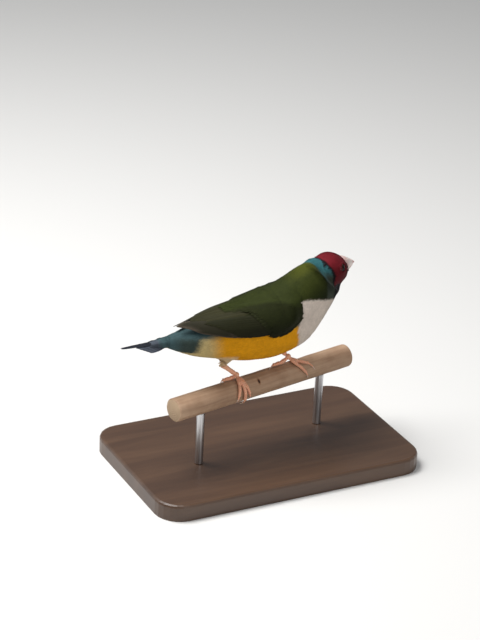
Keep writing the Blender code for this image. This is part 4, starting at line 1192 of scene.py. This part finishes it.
def tail_vane(side, shape, tilt, *looks, **more):
    """Adds a straight feather, tilted outwards about its shaft."""
    root_out, root_up, tip_ahead, tip_out, tip_up, half_width = shape
    a = Vector((TAIL_ROOT, side * root_out, TAIL_HEIGHT + root_up)) * MM + PERCH_MIDDLE
    b = Vector((tip_ahead, side * tip_out, TAIL_HEIGHT + tip_up)) * MM + PERCH_MIDDLE
    along_way = (b - a).normalized()
    across_way = Vector((0, math.sin(side * tilt), math.cos(side * tilt))).cross(along_way).normalized()
    out = along_way.cross(across_way).normalized()
    flock.vane(lambda share: (a.lerp(b, share), across_way, out), half_width * MM, *looks, **more)


draw = random.Random(21)
flock = Feathers()
for side in (-1, 1):
    for k in range(TAIL_PAIRS):
        shape = [between(a, b, k / (TAIL_PAIRS - 1)) for a, b in zip(OUTER_VANE, INNER_VANE)]
        tail_vane(side, shape, 0.22, SLATE, SLATE_EDGE, draw.uniform(0.3, 1))
    tail_vane(side, PIN_VANE, 0.1, PIN_BLACK, PIN_EDGE, 0.8, point=0.6, rows=26)
tail = flock.build("tail_feathers", tail_unwrap, lambda places: np.ones(len(places)))
finish(tail, flight_plumage, smooth=False)
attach(tail, BODY)
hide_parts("tail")

points = []
for i in range(CONE_ROWS + 1):
    ahead = between(CONE[-1][0], CONE[0][0], i / CONE_ROWS)
    half_width, size_up, size_down = through(CONE, ahead)
    for j in range(CONE_SIDES):
        angle = 2 * math.pi * j / CONE_SIDES
        up = math.cos(angle)
        lift = up * (size_up if up > 0 else size_down) - CONE_INSET * up
        out = math.sin(angle) * (half_width - CONE_INSET)
        points.append(Vector((ahead, out, TAIL_HEIGHT + lift)) * MM + PERCH_MIDDLE)
faces = ring_faces(CONE_ROWS, CONE_SIDES, len(points))
faces.append(tuple(range(CONE_SIDES - 1, -1, -1)))
faces.append(tuple(range(CONE_ROWS * CONE_SIDES, (CONE_ROWS + 1) * CONE_SIDES)))
cone = face_out(mesh_object("tail_cone", points, faces))
points = read_points(cone.data)
x, _, z = (points / MM).T
blue = over(plain(RUMP_TEAL, points), CONE_BLUE, 1 - step(-54, -51, x))
write_colours(cone.data, over(blue, VENT_CREAM, 1 - step(66.9, 68.1, z)))
write_values(cone.data, "lie", "FLOAT_VECTOR", plain((-1.0, 0, 0), points))
between_ends = step(-59.6, -59.2, x) * (1 - step(-50.6, -50.2, x))
write_values(cone.data, "grows", "FLOAT", between_ends)
write_map(cone.data, "OFBake", tail_unwrap(points))
finish(cone, hide)
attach(cone, BODY)
TAIL_COAT = (body_leaf, 0.5 * MM, LENGTH_TAIL, soft_plumage, 31, "plumage_tail", 0.1)
feather_coat("tail_coverts", cone, "grows", *TAIL_COAT)
for used in (face_leaf, neck_leaf, body_leaf):
    bpy.data.objects.remove(used)

# Eyes. Dark wet globes, nearly all brown-black iris and pupil, each set in a thin ring of bare, beaded
# lid. They look out and a little ahead.
IRIS = (
    (0.0, 0.002),
    (0.36, 0.003, 0.002, 0.002),
    (0.40, 0.022, 0.008, 0.004),
    (0.54, 0.042, 0.015, 0.007),
    (0.62, 0.008, 0.004, 0.003),
    (1.0, 0.02, 0.012, 0.01),
)
LID = ((0.3, 0.075, 0.022, 0.022), (0.7, 0.17, 0.07, 0.065))
GAZE = (0.33, 0.93, 0.14)  # ahead, out and up
GLOBE_SIDES, GLOBE_ROWS = 56, 36
LID_OUT, LID_RADIUS, LID_THICKNESS = 1.30 * MM, 2.16 * MM, 0.34 * MM
LID_LONG, LID_TALL = 1.06, 0.93
LID_BEADS, BEAD_ROWS, LID_SIDES = 26, 5, 14
BEAD_RISE = 0.10
globe_finish, tree, shader = blank_material("wet dark eye", 0.2)
paint(tree, shader, ramp(tree, IRIS, stored(tree, "gaze")))
bump(tree, shader, noise(tree, object_place(tree), 3000.0, detail=2.0), 0.03, 0.00002)
set_inputs(shader, Specular_IOR_Level=0.1, Coat_Weight=0.12, Coat_Roughness=0.03)
lid_finish, tree, shader = blank_material("bare lid", 0.55)
beads = noise(tree, object_place(tree), 2600.0, detail=2.0)
paint(tree, shader, ramp(tree, LID, beads))
bump(tree, shader, beads, 0.5, 0.00008)
forward, left, above = head_axes()
for side, side_name in ((1, "left"), (-1, "right")):
    centre = eye_centre(side)
    out = (left * side * GAZE[1] + forward * GAZE[0] + above * GAZE[2]).normalized()
    ahead_way = (forward - out * forward.dot(out)).normalized()
    up_way = out.cross(ahead_way)
    mesh = bpy.data.meshes.new("eyeball_" + side_name)
    work = bmesh.new()
    bmesh.ops.create_uvsphere(work, u_segments=GLOBE_SIDES, v_segments=GLOBE_ROWS, radius=EYE_RADIUS)
    turned = Matrix((ahead_way, up_way, out)).transposed().to_4x4()
    turned.translation = centre
    bmesh.ops.transform(work, matrix=turned, verts=work.verts)
    work.to_mesh(mesh)
    work.free()
    globe = face_out(new_object("eyeball_" + side_name, mesh))
    looks = np.clip((read_points(mesh) - np.array(centre)) @ np.array(out) / EYE_RADIUS, -1, 1)
    write_values(mesh, "gaze", "FLOAT", np.arccos(looks) / math.pi * 2)
    finish(globe, globe_finish)
    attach(globe, BODY)
    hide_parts("eye_" + side_name)
    points = []
    rows = LID_BEADS * BEAD_ROWS
    for i in range(rows):
        angle = 2 * math.pi * i / rows
        rim = ahead_way * math.cos(angle) * LID_LONG + up_way * math.sin(angle) * LID_TALL
        bead = 1 + BEAD_RISE * math.cos(angle * LID_BEADS)
        for j in range(LID_SIDES):
            turn = 2 * math.pi * j / LID_SIDES
            away = rim * (LID_RADIUS + LID_THICKNESS * math.cos(turn) * bead)
            points.append(centre + out * LID_OUT + away + out * LID_THICKNESS * bead * math.sin(turn))
    faces = ring_faces(rows, LID_SIDES, len(points))
    lid = face_out(mesh_object("eyelid_" + side_name, points, faces))
    finish(lid, lid_finish)
    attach(lid, BODY)

# Bill. Two horn mandibles, deep and short for cracking seed, ivory with a pinkish root and a red tip,
# parted by the line of the mouth and pierced by the nostrils at the root of the upper one.
BILL_LENGTH = 11.6 * MM
BILL_SET = 1.0 * MM  # how far its root is set into the face
HORN_VOXEL = 0.16 * MM
HORN_STRETCH = (160, 900, 900)
IVORY = (
    (0.0, 0.62, 0.42, 0.40),
    (0.25, 0.76, 0.64, 0.58),
    (0.66, 0.78, 0.66, 0.60),
    (0.84, 0.48, 0.10, 0.07),
    (1.0, 0.36, 0.03, 0.025),
)
horn, tree, shader = blank_material("ivory horn", 0.32)
along = object_place(tree, turn=(0, 0, HEAD_TURN), scale=HORN_STRETCH, middle=HEAD_CENTRE)
streaks = noise(tree, along, 1.0)
fleck = ramp(tree, ((0.3, 0.86, 0.84, 0.82), (0.7, 1.0)), streaks)
paint(tree, shader, mixed(tree, "MULTIPLY", 1.0, ramp(tree, IVORY, stored(tree, "reach")), fleck))
bump(tree, shader, streaks, 0.2, 0.0001)
set_inputs(shader, Subsurface_Weight=0.15, Subsurface_Scale=0.6)
set_inputs(shader, Subsurface_Radius=(0.001, 0.0005, 0.0004))
for node in ("bill_upper", "bill_lower"):
    piece = remeshed(joined_copy(node.replace("bill", "mandible"), (node,)), HORN_VOXEL, rounds=5)
    points = read_points(piece.data)
    points -= np.array(to_bill) * (BILL_SET * (1 - step(0.3 * MM, 1.0 * MM, past_cut(points))))[:, None]
    write_points(piece.data, points)
    reach = (points - np.array(bill_root)) @ np.array(bill_way) / BILL_LENGTH
    write_values(piece.data, "reach", "FLOAT", np.clip(reach, 0, 1))
    finish(piece, horn)
    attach(piece, BODY)
    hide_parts(node)

# Legs and feet. Slim flesh-pink shanks and long toes in overlapping horny plates, each toe with a pale
# curved claw that holds the perch.
# Each foot: its place along the perch, its arch, then each claw's tip from there and its angle round it.
FEET = {
    "right": (-15.9, 0.5, ((0.2, 150), (3.8, 122), (-4.2, 120), (-10.2, 4))),
    "left": (15.3, 1.5, ((12.4, 78), (8.0, 108), (8.6, -98), (-12.4, 10))),
}
CLAW_HEIGHT = 0.5 * MM  # of the claws' tips over the perch
PLATE_LENGTH, PLATE_RISE = 0.85 * MM, 0.07 * MM
HUB_HEIGHT, HUB_SHRINK = 2.05 * MM, 0.2  # where the toes meet
PINK = ((0.0, 0.46, 0.15, 0.08), (0.35, 0.76, 0.33, 0.19), (1.0, 0.82, 0.42, 0.26))
GRIT = ((0.3, 0.80, 0.76, 0.74), (0.7, 1.0))
CLAW_HORN = (0.62, 0.46, 0.38, 1)
flesh, tree, shader = blank_material("scaled flesh", 0.45)
grit = noise(tree, object_place(tree), 2200.0, detail=3.0)
pink = mixed(tree, "MULTIPLY", 1.0, ramp(tree, PINK, stored(tree, "plate")), ramp(tree, GRIT, grit))
paint(tree, shader, mixed(tree, "MIX", stored(tree, "claw"), pink, CLAW_HORN))
bump(tree, shader, grit, 0.3, 0.0001)
set_inputs(shader, Subsurface_Weight=0.2, Subsurface_Scale=0.7)
set_inputs(shader, Subsurface_Radius=(0.0012, 0.0005, 0.0003))
for side_name, (hub_along, arch, claws) in FEET.items():
    hub = by_perch(hub_along * MM, 0, PERCH_RADIUS + HUB_HEIGHT + arch * MM)
    reach = PERCH_RADIUS + CLAW_HEIGHT
    tips = [by_perch((hub_along + a) * MM, math.radians(turn), reach) for a, turn in claws]
    for part in ("foot", "shank"):
        copied = joined_copy(f"{part}_skin_{side_name}", (f"{part}_{side_name}",))
        piece = remeshed(copied, HORN_VOXEL, rounds=4)
        points, normals = read_points(piece.data), read_normals(piece.data)
        from_hub = np.linalg.norm(points - np.array(hub), axis=1)
        shrink = HUB_SHRINK * (1 - step(1.9 * MM, 3.2 * MM, from_hub))
        points -= (points - np.array(hub)) * shrink[:, None]
        from_tip = np.min([np.linalg.norm(points - np.array(tip), axis=1) for tip in tips], axis=0)
        claw = 1 - step(2.3 * MM, 3.1 * MM, from_tip)
        saw = (from_hub / PLATE_LENGTH) % 1.0
        plate = step(0, 0.22, saw) * (1 - 0.75 * saw)
        facing = step(-0.2, 0.4, normals[:, 2] + 0.4 * np.abs(normals[:, 1]))
        rise = PLATE_RISE * plate * facing * (1 - claw) * step(1.2 * MM, 2.2 * MM, from_hub)
        write_points(piece.data, points + normals * rise[:, None])
        write_values(piece.data, "claw", "FLOAT", claw)
        smooth = np.maximum(1 - facing, 1 - step(2.0 * MM, 2.8 * MM, from_hub))
        write_values(piece.data, "plate", "FLOAT", np.maximum(step(0, 0.3, saw), smooth))
        finish(piece, flesh)
        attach(piece, BODY)
        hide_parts(f"{part}_{side_name}")
